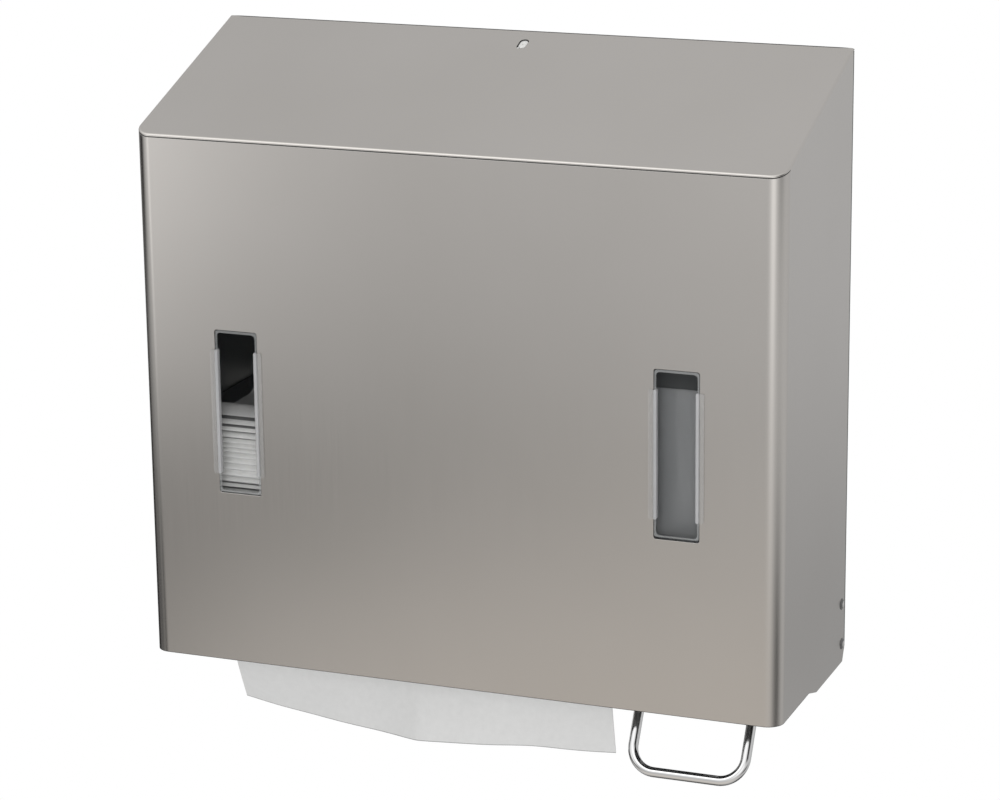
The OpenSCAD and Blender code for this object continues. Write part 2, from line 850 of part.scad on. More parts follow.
// Point of the hanging towel, v running down it from 0 to 1
function towel_point(u, v, side) = [
  stack_x + u * towel_w / 2,
  -slot_back + swing(u) * pow(v, droop_power) + side * towel_t / 2,
  floor_top - exit_gap - v * sqrt(hang * hang - swing(u) * swing(u))];

// Towel hanging through the slot, ready to be pulled
module towel_sheet() {
  across = 24;
  down = 8;
  row = across + 1;
  side = row * (down + 1);
  points = [for (s = [-1, 1], j = [0:down], i = [0:across])
    towel_point(2 * i / across - 1, j / down, s)];
  faces = [for (j = [0:down - 1], i = [0:across - 1]) let (a = j * row + i, b = a + row)
    each [[a, a + 1, b], [a + 1, b + 1, b],
      [side + a, side + b, side + a + 1], [side + a + 1, side + b, side + b + 1]]];
  level = [for (i = [0:across - 1], a = [i, down * row + i + 1]) let (b = a == i ? i + 1 : a - 1)
    each [[a, side + a, b], [b, side + a, side + b]]];
  upright = [for (j = [0:down - 1], a = [(j + 1) * row, j * row + across])
    let (b = a == (j + 1) * row ? j * row : a + row)
    each [[a, side + a, b], [b, side + a, side + b]]];
  color("white") polyhedron(points, concat(faces, level, upright));
}

// Bracket that carries the bottle on its shelf and the lever between its cheeks
module pump_carrier() {
  under = shelf_z - carrier_t;
  color("lightgray") difference() {
    union() {
      translate([soap_x - cheek_out, -shelf_front, under])
        cube([2 * cheek_out, shelf_front - back_t, carrier_t]);
      both_sides(soap_x) along_x(cheek_in, cheek_out) {
        polygon([[-back_t, shelf_z], [-back_t, shelf_z - cheek_drop],
          [-axle_back, axle_z - cheek_round], [-axle_back - cheek_round, axle_z],
          [-shelf_front, shelf_z]]);
        translate([-axle_back, axle_z]) circle(r = cheek_round);
      }
      translate([soap_x - cheek_out, -back_t - carrier_t, under])
        cube([2 * cheek_out, carrier_t, carrier_t + plate_rise]);
    }
    on_pump() rod(under - cut, shelf_z + cut, shelf_slot / 2);
    translate([soap_x - shelf_slot / 2, -shelf_front - cut, under - cut])
      cube([shelf_slot, shelf_front - pump_back + cut, carrier_t + 2 * cut]);
    bar_x(-hood_w, hood_w, -axle_back, axle_z, axle_r + run_gap);
    at_studs(0) cylinder(h = 2 * stud_l, r = stud_r + slip);
  }
}

// Nuts on the studs
module carrier_nuts() {
  color("darkgray") at_studs(-back_t - carrier_t) difference() {
    cylinder(h = nut_t, r = nut_r, $fn = 6);
    rod(-cut, nut_t + cut, stud_r + run_gap);
  }
}

// Space inside or outside of the bottle's body: an upright box with round edges, its
// lower end drawn in to the neck by a cone, from z0 to z1
module bottle_form(inset, z0, z1, throat) {
  intersection() {
    translate([0, 0, z0]) linear_extrude(z1 - z0)
      round_rect(bottle_w - 2 * inset, bottle_d - 2 * inset, bottle_r - inset);
    translate([0, 0, z0])
      cylinder(h = z1 - z0, r1 = throat, r2 = throat + shoulder_rate * (z1 - z0));
  }
}

// Upturned bottle standing on its shoulder, neck down
module soap_bottle() {
  throat = neck_r + neck_rim;
  color("aliceblue", 0.6) on_pump() difference() {
    union() {
      bottle_form(0, shelf_z, bottle_top, throat);
      rod(neck_low, shelf_z + cut, neck_r);
    }
    bottle_form(bottle_t, shelf_z + bottle_t, bottle_top - bottle_t, throat - bottle_t);
    rod(neck_low - cut, shelf_z + bottle_t + cut, neck_r - neck_t);
  }
}

// Liquid soap in the bottle, round the pump
module soap_fill() {
  inset = bottle_t + slip;
  color("lightskyblue", 0.7) on_pump() difference() {
    bottle_form(inset, shelf_z + inset, shelf_z + soap_level, neck_r + neck_rim - inset);
    rod(shelf_z, cyl_top + slip, cyl_r + slip);
  }
}

// Screw cap that holds the pump in the neck
module pump_cap() {
  color("whitesmoke") on_pump() difference() {
    rod(cap_low, cap_top, cap_r);
    rod(rim_z, cap_top + cut, neck_r + slip);
    rod(cap_low - cut, cap_top, cyl_r + slip);
    for (i = [0:grip_count - 1]) rotate(360 * i / grip_count) translate([cap_r + grip_r / 2, 0, 0])
      rod(cap_low - cut, cap_top + cut, grip_r);
  }
}

// Seal between the neck and the pump's rim
module neck_gasket() {
  color("black") on_pump() tube(rim_z + rim_t, neck_low, neck_r, cyl_r + slip);
}

// Pump cylinder with its rim and the inlet in its roof
module pump_cylinder() {
  color("white") on_pump() difference() {
    union() {
      rod(cyl_low, cyl_top, cyl_r);
      rod(rim_z, rim_z + rim_t, neck_r);
    }
    rod(cyl_low - cut, cyl_top - cyl_roof, bore_r);
    rod(cyl_low, cyl_top + cut, port_r);
  }
}

// Bush in the cylinder's mouth that guides the stem
module stem_guide() {
  color("gainsboro") on_pump() difference() {
    union() {
      rod(cyl_low, cyl_low + guide_l, bore_r);
      rod(cyl_low - guide_rim, cyl_low, cyl_r);
    }
    rod(cyl_low - guide_rim - cut, cyl_low + guide_l + cut, stem_r + run_gap);
  }
}

// Cage that keeps the inlet ball under its seat
module valve_cage() {
  cup = ball_r + ball_gap + cage_wall;
  color("gainsboro") on_pump() difference() {
    union() {
      rod(cage_z, cage_z + cage_t, bore_r);
      tube(cage_z, cage_z + cage_t + cage_h, cup, ball_r + ball_gap);
      rod(cage_z, cage_z + cage_t, cup);
    }
    for (i = [0:cage_holes - 1]) rotate(360 * i / cage_holes)
      translate([(cup + bore_r) / 2, 0, 0]) rod(cage_z - cut, cage_z + cage_t + cut, cage_hole_r);
  }
}

// Ball that lets soap into the cylinder
module inlet_ball() {
  color("silver") on_pump() translate([0, 0, ball_z]) sphere(r = ball_r);
}

// Spring that pushes the piston down
module pump_spring() {
  color("gray") on_pump()
    spring(spring_r, spring_wire, spring_turns, piston_top + coil_seat, cage_z - coil_seat);
}

// Hollow stem with the piston's head and the collar that the lever lifts
module piston_stem() {
  color("white") on_pump() difference() {
    union() {
      rod(socket_z, piston_top, stem_r);
      rod(collar_z, collar_z + collar_t, collar_d / 2);
      rod(piston_top - piston_h, piston_top, bore_r - run_gap);
    }
    tube(groove_z, groove_z + groove_h, bore_r + cut, bore_r - groove_d);
    rod(socket_z - cut, piston_top + cut, stem_bore / 2);
  }
}

// Seal in the piston's groove
module piston_ring() {
  color("black") on_pump() tube(groove_z + slip, groove_z + groove_h - slip,
    bore_r - run_gap / 2, bore_r - groove_d + run_gap);
}

// Rubber valve at the stem's end, which closes by itself
module drip_valve() {
  rim = socket_z - valve_rim_t;
  tip = rim - valve_l;
  color("dimgray") on_pump() rotate_extrude() polygon([[stem_bore / 2, socket_z],
    [valve_rim_r, socket_z], [valve_rim_r, rim], [valve_r, rim], [valve_tip_r, tip],
    [valve_slit_r, tip], [valve_slit_r, tip + valve_tip_r], [stem_bore / 2, rim]]);
}

// Tapered nozzle that holds the valve against the stem
module nozzle_tip() {
  outer = stem_r + nozzle_wall;
  rim = socket_z - valve_rim_t;
  color("whitesmoke") on_pump() difference() {
    union() {
      rod(nozzle_z + nozzle_taper, nozzle_z + nozzle_h, outer);
      translate([0, 0, nozzle_z])
        cylinder(h = nozzle_taper, r1 = outlet_r + nozzle_wall, r2 = outer);
    }
    rod(nozzle_z - cut, rim, outlet_r);
    rod(nozzle_z + outlet_t, rim, valve_r + slip);
    rod(rim, socket_z + cut, valve_rim_r + slip);
    rod(socket_z, nozzle_z + nozzle_h + cut, stem_r + run_gap);
  }
}

// Places children along the lever's leg: origin at the bar's height, z up the leg
module along_leg() {
  translate([0, -bar_back, -bar_drop]) rotate([-leg_lean, 0, 0]) children();
}

// Side view of a rocker arm: hub, arm, lifting end and the boss for the wire's leg
module arm_side() {
  boss_w = 2 * (wire_r + boss_wall);
  translate([-axle_back, axle_z]) circle(r = hub_r);
  translate([-pump_back, axle_z]) circle(r = arm_half_h);
  translate([-axle_back, axle_z - arm_half_h])
    square([axle_back - pump_back, 2 * arm_half_h]);
  translate([leg_y(boss_z), boss_z]) rotate(-leg_lean) translate([-boss_w / 2, 0])
    square([boss_w, (axle_z - boss_z) / cos(leg_lean)]);
}

// Rocker: hub on the axle, two arms, lugs under the collar and sockets for the wire
module lever_rocker() {
  arm_in = arm_x - arm_t / 2;
  arm_out = arm_x + arm_t / 2;
  color("slategray") difference() {
    union() {
      bar_x(soap_x - arm_out, soap_x + arm_out, -axle_back, axle_z, hub_r);
      both_sides(soap_x) {
        along_x(arm_in, arm_out) arm_side();
        bar_x(lug_end, arm_x, -pump_back, axle_z, lug_r);
      }
    }
    bar_x(-hood_w, hood_w, -axle_back, axle_z, axle_r + run_gap);
    both_sides(soap_x) translate([arm_x, 0, 0]) along_leg() rod(0, leg_l, wire_r + run_gap);
  }
}

// Push lever: one polished wire bent into a U
module lever_wire() {
  run = arm_x - wire_bend;
  color("gainsboro") translate([soap_x, 0, 0]) along_leg() {
    bar_x(-run, run, 0, 0, wire_r);
    both_sides() {
      translate([arm_x, 0, 0]) rod(wire_bend, leg_l, wire_r);
      translate([run, 0, wire_bend]) rotate([90, 0, 0]) rotate([0, 0, -90])
        rotate_extrude(angle = 90) translate([wire_bend, 0]) circle(r = wire_r);
    }
  }
}

// Axle that the rocker turns on
module lever_axle() {
  color("darkgray") bar_x(soap_x - axle_half, soap_x + axle_half, -axle_back, axle_z, axle_r);
}

// Washers between the rocker and the carrier's cheeks
module axle_washers() {
  color("white") both_sides(soap_x) translate([cheek_in - slip, -axle_back, axle_z])
    rotate([0, -90, 0]) tube(0, cheek_gap - 2 * slip, hub_r, axle_r + run_gap);
}

// Snap rings on the axle's ends
module axle_clips() {
  color("dimgray") both_sides(soap_x) translate([cheek_out + slip, -axle_back, axle_z])
    rotate([0, 90, 0]) difference() {
      tube(0, clip_t, axle_r + clip_rim, axle_r + run_gap);
      translate([0, -axle_r / 2, -cut]) cube([2 * axle_d, axle_r, clip_t + 2 * cut]);
    }
}

in_frame() back_plate();
in_frame() hood_wrap();
in_frame() hood_top();
in_frame() towel_window();
in_frame() soap_window();
in_frame() hinge_pins();
in_frame() stop_pins();
in_frame() hinge_washers();
in_frame() catch_bracket();
in_frame() bracket_rivets();
in_frame() lock_catch();
in_frame() catch_pin();
in_frame() catch_spring();
in_frame() towel_floor();
in_frame() towel_guide();
in_frame() divider();
in_frame() panel_rivets();
in_frame() towel_stack();
in_frame() towel_sheet();
in_frame() pump_carrier();
in_frame() carrier_nuts();
in_frame() soap_bottle();
in_frame() soap_fill();
in_frame() pump_cap();
in_frame() neck_gasket();
in_frame() pump_cylinder();
in_frame() stem_guide();
in_frame() valve_cage();
in_frame() inlet_ball();
in_frame() pump_spring();
in_frame() piston_stem();
in_frame() piston_ring();
in_frame() drip_valve();
in_frame() nozzle_tip();
in_frame() lever_rocker();
in_frame() lever_wire();
in_frame() lever_axle();
in_frame() axle_washers();
in_frame() axle_clips();
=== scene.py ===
import json

import bmesh
import bpy
import numpy as np
from mathutils import Matrix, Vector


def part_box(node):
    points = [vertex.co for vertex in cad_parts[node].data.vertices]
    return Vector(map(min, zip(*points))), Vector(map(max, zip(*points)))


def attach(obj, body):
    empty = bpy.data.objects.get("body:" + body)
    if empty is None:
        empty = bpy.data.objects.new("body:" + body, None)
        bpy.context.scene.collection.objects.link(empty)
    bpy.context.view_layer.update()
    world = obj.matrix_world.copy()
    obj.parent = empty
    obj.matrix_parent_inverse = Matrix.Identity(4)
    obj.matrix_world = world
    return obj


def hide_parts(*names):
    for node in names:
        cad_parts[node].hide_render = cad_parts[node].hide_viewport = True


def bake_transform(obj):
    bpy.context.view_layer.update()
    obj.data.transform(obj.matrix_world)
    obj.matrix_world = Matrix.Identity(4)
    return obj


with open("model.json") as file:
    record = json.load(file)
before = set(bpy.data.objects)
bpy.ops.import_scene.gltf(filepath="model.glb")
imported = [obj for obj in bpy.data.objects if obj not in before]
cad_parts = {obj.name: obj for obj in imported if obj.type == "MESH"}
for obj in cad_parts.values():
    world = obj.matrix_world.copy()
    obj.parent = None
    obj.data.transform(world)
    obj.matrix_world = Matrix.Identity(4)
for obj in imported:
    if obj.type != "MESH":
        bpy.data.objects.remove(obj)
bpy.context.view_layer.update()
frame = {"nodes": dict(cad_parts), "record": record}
lowerEdge = -0.196  # the hood's lower front edge, below the middle of the wall holes
tiny = 1e-7  # places closer than this are the same
nearZero = 1e-9  # keeps a division finite
angleDigits = 9  # directions that agree to so many digits are one
print("frame loaded:", len(frame["nodes"]), "nodes")


# Corner numbers of each cell of a grid; wrap joins the last column to the first.
def cellFaces(rows, cols, wrap=False):
    index = np.arange(rows * cols).reshape(rows, cols)
    nextCol = np.roll(index, -1, axis=1)
    last = cols if wrap else cols - 1
    cells = [index[:-1, :last], nextCol[:-1, :last], nextCol[1:, :last], index[1:, :last]]
    return np.stack(cells, axis=-1).reshape(-1, 4)


# A tube's cells and its two end faces, for rings that follow each other row by row.
def tubeFaces(rows, cols):
    ring = np.arange(cols)[None, :]
    return [cellFaces(rows, cols, wrap=True), ring[:, ::-1], ring + (rows - 1) * cols]


# Cells of a grid that closes on itself both ways.
def ringFaces(rows, cols):
    index = np.arange(rows * cols).reshape(rows, cols)
    across = np.roll(index, -1, axis=1)
    cells = [index, across, np.roll(across, -1, axis=0), np.roll(index, -1, axis=0)]
    return np.stack(cells, axis=-1).reshape(-1, 4)


# Six times the volume that a closed shell holds, negative where its faces point inwards.
def shellVolume(points, faces):
    total = 0.0
    for polygons in faces:
        for k in range(1, polygons.shape[1] - 1):
            side = np.cross(points[polygons[:, k]], points[polygons[:, k + 1]])
            total += np.sum(points[polygons[:, 0]] * side)
    return total


# One mesh from several closed shells, each (points, faces, finish), riding on a body.
def makePiece(name, shells, body, node, sharpAngle=38):
    points, polygons, paint, finishes = [], [], [], []
    start = 0
    for shellPoints, faces, finish in shells:
        shellPoints = shellPoints.reshape(-1, 3)
        flip = shellVolume(shellPoints, faces) < 0
        if finish not in finishes:
            finishes.append(finish)
        for group in faces:
            group = group[:, ::-1] if flip else group
            polygons += (group + start).tolist()
            paint += [finishes.index(finish)] * len(group)
        points.append(shellPoints)
        start += len(shellPoints)
    mesh = bpy.data.meshes.new(name)
    mesh.from_pydata(np.concatenate(points).tolist(), [], polygons)
    for finish in finishes:
        mesh.materials.append(finish)
    mesh.polygons.foreach_set("material_index", paint)
    return finishPiece(name, mesh, body, node, sharpAngle)


# Object in the scene for a mesh, a lamp or a camera.
def addObject(name, data):
    holder = bpy.data.objects.new(name, data)
    bpy.context.scene.collection.objects.link(holder)
    return holder


# Smooth piece with edges past an angle kept sharp, which rides on a body and stands for a node.
def finishPiece(name, mesh, body, node, sharpAngle):
    mesh.polygons.foreach_set("use_smooth", [True] * len(mesh.polygons))
    mesh.set_sharp_from_angle(angle=np.radians(sharpAngle))
    piece = addObject(name, mesh)
    if body:
        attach(piece, body)
    if node:
        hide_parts(node)
    return piece


# How far a normal points one way, at least or at most, where faces get a second finish.
facing = {"seam": 0.5, "innerFront": 0.9, "plateRear": 0.98, "headRim": 0.93, "holeWall": 0.8}


# Gives a second finish to the faces of a piece that the test picks by middle and normal.
def paintFaces(piece, finish, test):
    polygons = piece.data.polygons
    count = len(polygons)
    middle = np.zeros(count * 3)
    normal = np.zeros(count * 3)
    paint = np.zeros(count, int)
    polygons.foreach_get("center", middle)
    polygons.foreach_get("normal", normal)
    polygons.foreach_get("material_index", paint)
    chosen = test(middle.reshape(-1, 3), normal.reshape(-1, 3))
    paint[chosen] = len(piece.data.materials)
    piece.data.materials.append(finish)
    polygons.foreach_set("material_index", paint)


# Rounds the edges of a piece that meet at an angle.
def roundEdges(piece, width, segments=2, fromAngle=35):
    bevel = piece.modifiers.new("edges", "BEVEL")
    bevel.width = width
    bevel.segments = segments
    bevel.limit_method = "ANGLE"
    bevel.angle_limit = np.radians(fromAngle)
    bevel.harden_normals = True
    return piece


# Shell between two grids of points over the kept cells: a cell edge that only one kept cell
# uses gets a wall from the outer grid to the inner one.
def sheetShell(outer, inner, keep):
    rows, cols = outer.shape[:2]
    count = rows * cols
    cells = cellFaces(rows, cols)[keep.ravel()]
    edges = np.concatenate([cells[:, [k, (k + 1) % 4]] for k in range(4)])
    forward = edges[:, 0] * count + edges[:, 1]
    backward = edges[:, 1] * count + edges[:, 0]
    rim = edges[~np.isin(forward, backward)]
    walls = np.stack([rim[:, 1], rim[:, 0], rim[:, 0] + count, rim[:, 1] + count], axis=-1)
    faces = np.concatenate([cells, cells[:, ::-1] + count, walls])
    used, packed = np.unique(faces, return_inverse=True)
    points = np.concatenate([outer.reshape(-1, 3), inner.reshape(-1, 3)])[used]
    return points, [packed.reshape(faces.shape)]


# Moves the corner points of a rectangular hole's edge onto arcs: a point at share k of the
# way along the corner square goes to k times 45 degrees round the arc, from either side.
def roundHole(u, v, hole):
    du = np.abs(u - hole["u"])
    dv = np.abs(v - hole["v"])
    radius = hole["radius"]
    cu = hole["halfU"] - radius
    cv = hole["halfV"] - radius
    onU = np.abs(du - hole["halfU"]) < tiny
    onV = np.abs(dv - hole["halfV"]) < tiny
    shareV = np.clip((dv - cv) / radius, 0, 1)
    shareU = np.clip((du - cu) / radius, 0, 1)
    angle = np.where(onU, shareV * np.pi / 4, np.pi / 2 - shareU * np.pi / 4)
    besideU = onU & (dv > cv) & (dv < hole["halfV"] + tiny)
    besideV = onV & (du > cu) & (du < hole["halfU"] + tiny)
    edge = besideU | besideV
    newU = np.where(edge, hole["u"] + np.sign(u - hole["u"]) * (cu + radius * np.cos(angle)), u)
    newV = np.where(edge, hole["v"] + np.sign(v - hole["v"]) * (cv + radius * np.sin(angle)), v)
    return newU, newV


# Grid lines across a hole: its edges, its corner arcs and a free line outside each edge.
def holeLines(middle, half, radius, margin, steps=4):
    arc = np.linspace(0, radius, steps)
    lines = np.r_[half + margin, half - arc]
    return np.r_[middle - lines, middle + lines]


# Circle carried along a path; across is square to the path at each of its points.
def wireShell(path, across, radius, sides=20):
    tangent = np.gradient(path, axis=0)
    tangent /= np.linalg.norm(tangent, axis=1, keepdims=True)
    upward = np.cross(tangent, across)
    turn = np.linspace(0, 2 * np.pi, sides, endpoint=False)
    ring = np.cos(turn)[:, None] * across[:, None] + np.sin(turn)[:, None] * upward[:, None]
    points = path[:, None] + radius * ring
    return points, tubeFaces(len(path), sides)


# Points from coordinates that spread over a common grid.
def joinPoints(x, y, z):
    return np.stack(np.broadcast_arrays(x, y, z), axis=-1)


# Quarter circle between two square faces: how far each of its points lies below either face.
def roundOver(radius, steps):
    turn = np.linspace(0, np.pi / 2, steps)
    return radius * (1 - np.sin(turn)), radius * (1 - np.cos(turn))


# Angles round four rounded corners, and on which side of the middle each corner lies.
def cornerTurns(steps):
    angle = (np.linspace(0, np.pi / 2, steps) + np.arange(4)[:, None] * np.pi / 2).ravel()
    return angle, np.repeat([1, -1, -1, 1], steps), np.repeat([1, 1, -1, -1], steps)


# Rounded rectangle carried from depth near to far, drawn in along a quarter circle at each end.
def slabShell(halfWidth, halfHeight, radius, near, far, edge, middle, steps=5):
    angle, sideX, sideZ = cornerTurns(steps)
    inset, step = roundOver(edge, steps)
    reach = (radius - np.r_[inset, inset[::-1]])[:, None]
    depth = np.r_[near + step, far - step[::-1]][:, None]
    points = joinPoints(middle[0] + sideX * (halfWidth - radius) + reach * np.cos(angle), depth,
                        middle[1] + sideZ * (halfHeight - radius) + reach * np.sin(angle))
    return points, tubeFaces(*points.shape[:2])


# Outline with a round corner: the straight distance, or the corner circle where the straight
# side's point lies past its centre.
def roundCorner(straight, c, s, cx, cy, radius):
    along = c * cx + s * cy
    arc = along + np.sqrt(np.maximum(along ** 2 - (cx ** 2 + cy ** 2 - radius ** 2), 0))
    inCorner = (straight * c > cx) & (straight * s > cy)
    return np.where(inCorner, arc, straight)


# Distance from the middle to a rounded rectangle's outline in each direction: the nearer of two
# straight sides, with round corners.
def boxRadius(angle, halfWidth, halfDepth, corner):
    c = np.abs(np.cos(angle))
    s = np.abs(np.sin(angle))
    straight = np.minimum(halfWidth / np.maximum(c, nearZero), halfDepth / np.maximum(s, nearZero))
    return roundCorner(straight, c, s, halfWidth - corner, halfDepth - corner, corner)


# Frame in a slot: the outline of a rounded rectangle, with a gap below it, and the same drawn in
# by the rims at the sides, top and bottom, at two depths, joined all round.
def frameShell(halfWidth, halfHeight, radii, rims, gapBelow, near, far, middle, steps=7):
    angle, sideX, sideZ = [row[:, None] for row in cornerTurns(steps)]
    radius = np.array([radii[0], radii[1], radii[1], radii[0]])
    drawnIn = np.array([0, 1, 1, 0])
    depth = np.array([near, near, far, far])
    reachX = halfWidth - drawnIn * rims[0] - radius
    endRim = np.where(sideZ > 0, drawnIn * rims[1], gapBelow + drawnIn * rims[2])
    reachZ = halfHeight - radius - endRim
    points = joinPoints(middle[0] + sideX * reachX + radius * np.cos(angle), depth,
                        middle[1] + sideZ * reachZ + radius * np.sin(angle))
    return points, [ringFaces(*points.shape[:2])]


# Procedural finishes: each reads object coordinates, so a pattern keeps its real size.
def newFinish(name):
    finish = bpy.data.materials.new(name)
    finish.use_nodes = True
    tree = finish.node_tree
    return finish, tree, tree.nodes["Principled BSDF"]


# Feeds the inputs of a node: a socket is linked, any other value is set.
def feed(tree, node, inputs):
    for socket, value in inputs.items():
        if isinstance(value, bpy.types.NodeSocket):
            tree.links.new(value, node.inputs[socket])
        else:
            node.inputs[socket].default_value = value
    return node


# New node of a kind, with its inputs fed.
def addNode(tree, kind, inputs):
    return feed(tree, tree.nodes.new("ShaderNode" + kind), inputs)


# Noise of a given size on object coordinates; a small stretch draws it out along that axis.
def grain(tree, scale, stretch=(1, 1, 1), detail=3.0):
    coords = addNode(tree, "TexCoord", {})
    place = addNode(tree, "Mapping", {"Vector": coords.outputs["Object"], "Scale": stretch})
    noise = addNode(tree, "TexNoise", {"Vector": place.outputs["Vector"], "Scale": scale, "Detail": detail})
    return noise.outputs["Fac"]


# Where most of a noise factor lies, and the patterns that all metals and all plastics share.
noiseRange = (0.3, 0.7)
metalGrain = {"cloudScale": 9.0, "cloudDetail": 2.0, "relief": 0.5}
plasticGrain = {"cloudScale": 25.0, "speckScale": 180.0, "relief": 0.4}


# Colours from dark to light, by a noise factor.
def blendColours(tree, factor, dark, light):
    ramp = addNode(tree, "ValToRGB", {"Fac": factor})
    for element, position, colour in zip(ramp.color_ramp.elements, noiseRange, (dark, light)):
        element.position = position
        element.color = (*colour, 1)
    return ramp.outputs["Color"]


# A noise factor spread over a range of values.
def spread(tree, factor, low, high):
    span = addNode(tree, "MapRange", {"Value": factor, "From Min": noiseRange[0],
                                      "From Max": noiseRange[1], "To Min": low, "To Max": high})
    return span.outputs["Result"]


# Relief of a given depth from a height factor.
def relief(tree, height, depth, strength):
    bump = addNode(tree, "Bump", {"Height": height, "Distance": depth, "Strength": strength})
    return bump.outputs["Normal"]


# Metal: cloudy colour, and a grain of given scale and stretch in its roughness and relief.
def metalFinish(name, dark, light, rough, scale, stretch, depth):
    finish, tree, shader = newFinish(name)
    cloud = grain(tree, metalGrain["cloudScale"], detail=metalGrain["cloudDetail"])
    brush = grain(tree, scale, stretch)
    feed(tree, shader, {
        "Metallic": 1.0,
        "Base Color": blendColours(tree, cloud, dark, light),
        "Roughness": spread(tree, brush, *rough),
        "Normal": relief(tree, brush, depth, metalGrain["relief"]),
    })
    return finish


# Plastic, rubber or soap: cloudy colour, and fine specks in its roughness and relief.
def plasticFinish(name, dark, light, rough, alpha=1.0, depth=0.00002):
    finish, tree, shader = newFinish(name)
    cloud = grain(tree, plasticGrain["cloudScale"])
    speck = grain(tree, plasticGrain["speckScale"])
    feed(tree, shader, {
        "Base Color": blendColours(tree, cloud, dark, light),
        "Roughness": spread(tree, speck, *rough),
        "Alpha": alpha,
        "Normal": relief(tree, speck, depth, plasticGrain["relief"]),
    })
    return finish


satinSteel = metalFinish("satinSteel", (0.405, 0.388, 0.368), (0.418, 0.401, 0.382),
                         (0.20, 0.24), 2400.0, (1, 1, 0.01), 0.0000006)
satinTop = metalFinish("satinTop", (0.405, 0.388, 0.368), (0.418, 0.401, 0.382),
                       (0.19, 0.25), 2400.0, (1, 0.01, 0.01), 0.0000006)
# Inner pieces' steel, darker than the hood's: partly its own duller tone, partly painted shade for the
# hood's dark inside.
innerSteelShaded = metalFinish("innerSteelShaded", (0.26, 0.26, 0.25), (0.31, 0.31, 0.30),
                         (0.32, 0.44), 500.0, (1, 1, 0.03), 0.000006)
# Matte inner face of the hood's front: a real rougher finish, with a lighter colour that is painted light
# for its reflection in the lever wire.
innerFaceLit = metalFinish("innerFaceLit", (0.58, 0.58, 0.57), (0.64, 0.64, 0.63),
                        (0.62, 0.74), 500.0, (1, 1, 0.03), 0.000006)
rearFace = metalFinish("rearFace", (0.50, 0.50, 0.49), (0.58, 0.58, 0.57),
                       (0.46, 0.58), 900.0, (1, 1, 0.02), 0.000004)
# Painted shade: near-black steel for the hood's rear edges, lower front edge, top seam and key hole wall.
paintedEdgeShade = metalFinish("paintedEdgeShade", (0.05, 0.05, 0.05), (0.08, 0.08, 0.08),
                      (0.45, 0.60), 900.0, (1, 1, 1), 0.000006)
headSteel = metalFinish("headSteel", (0.46, 0.45, 0.44), (0.54, 0.53, 0.52),
                        (0.14, 0.22), 400.0, (1, 1, 1), 0.000004)
# Painted shade for the sloping rims of the pin heads.
pinShade = metalFinish("pinShade", (0.10, 0.10, 0.10), (0.14, 0.14, 0.14),
                       (0.20, 0.30), 400.0, (1, 1, 1), 0.000004)
pinSteel = metalFinish("pinSteel", (0.42, 0.41, 0.40), (0.50, 0.49, 0.47),
                       (0.20, 0.30), 400.0, (1, 1, 1), 0.000004)
brightWire = metalFinish("brightWire", (0.52, 0.52, 0.52), (0.58, 0.58, 0.58),
                         (0.06, 0.11), 300.0, (1, 1, 0.1), 0.000002)
rivetMetal = metalFinish("rivetMetal", (0.50, 0.50, 0.49), (0.58, 0.58, 0.57),
                         (0.28, 0.40), 350.0, (1, 1, 1), 0.000006)
springSteel = metalFinish("springSteel", (0.40, 0.40, 0.40), (0.48, 0.48, 0.47),
                          (0.22, 0.32), 300.0, (1, 1, 1), 0.000004)
clearPane = plasticFinish("clearPane", (0.05, 0.055, 0.06), (0.07, 0.075, 0.08), (0.04, 0.09), 0.03)
clearRim = plasticFinish("clearRim", (0.44, 0.45, 0.45), (0.52, 0.53, 0.53), (0.12, 0.20), 0.26)
clearLip = plasticFinish("clearLip", (0.52, 0.52, 0.52), (0.58, 0.58, 0.58), (0.12, 0.20), 0.14)
clearRib = plasticFinish("clearRib", (0.52, 0.52, 0.53), (0.60, 0.60, 0.61), (0.14, 0.22), 0.58)
whitePlastic = plasticFinish("whitePlastic", (0.82, 0.82, 0.80), (0.88, 0.88, 0.86), (0.30, 0.42))
greyPlastic = plasticFinish("greyPlastic", (0.20, 0.21, 0.22), (0.25, 0.26, 0.27), (0.34, 0.46))
bottlePlastic = plasticFinish("bottlePlastic", (0.26, 0.28, 0.28), (0.32, 0.34, 0.34),
                              (0.22, 0.34), 0.10)
sealRubber = plasticFinish("sealRubber", (0.02, 0.02, 0.02), (0.035, 0.035, 0.035), (0.55, 0.70))
liquidSoap = plasticFinish("liquidSoap", (0.245, 0.25, 0.255), (0.265, 0.27, 0.275), (0.10, 0.16),
                           depth=0.000004)
feed(liquidSoap.node_tree, liquidSoap.node_tree.nodes["Principled BSDF"], {
    "Subsurface Weight": 1.0,  # light spreads inside the soap
    "Subsurface Radius": (1, 1, 1),
    "Subsurface Scale": 0.02,
})
paper = {"fibreScale": 260.0, "fibreDetail": 6.0, "dotScale": 420.0, "dotRandomness": 0.25,
         "rough": (0.80, 0.95), "specular": 0.2, "sheen": 0.15, "depth": 0.00005, "relief": 0.35}


# Paper: fibre clouds, a fine pressed pattern of dots and soft fluff.
def paperFinish(name, dark, light):
    finish, tree, shader = newFinish(name)
    fibre = grain(tree, paper["fibreScale"], detail=paper["fibreDetail"])
    coords = addNode(tree, "TexCoord", {})
    dots = addNode(tree, "TexVoronoi", {"Vector": coords.outputs["Object"], "Scale": paper["dotScale"],
                                        "Randomness": paper["dotRandomness"]})
    height = addNode(tree, "Math", {0: fibre, 1: dots.outputs["Distance"]})
    height.operation = "ADD"
    feed(tree, shader, {
        "Base Color": blendColours(tree, fibre, dark, light),
        "Roughness": spread(tree, fibre, *paper["rough"]),
        "Specular IOR Level": paper["specular"],
        "Sheen Weight": paper["sheen"],
        "Normal": relief(tree, height.outputs["Value"], paper["depth"], paper["relief"]),
    })
    return finish


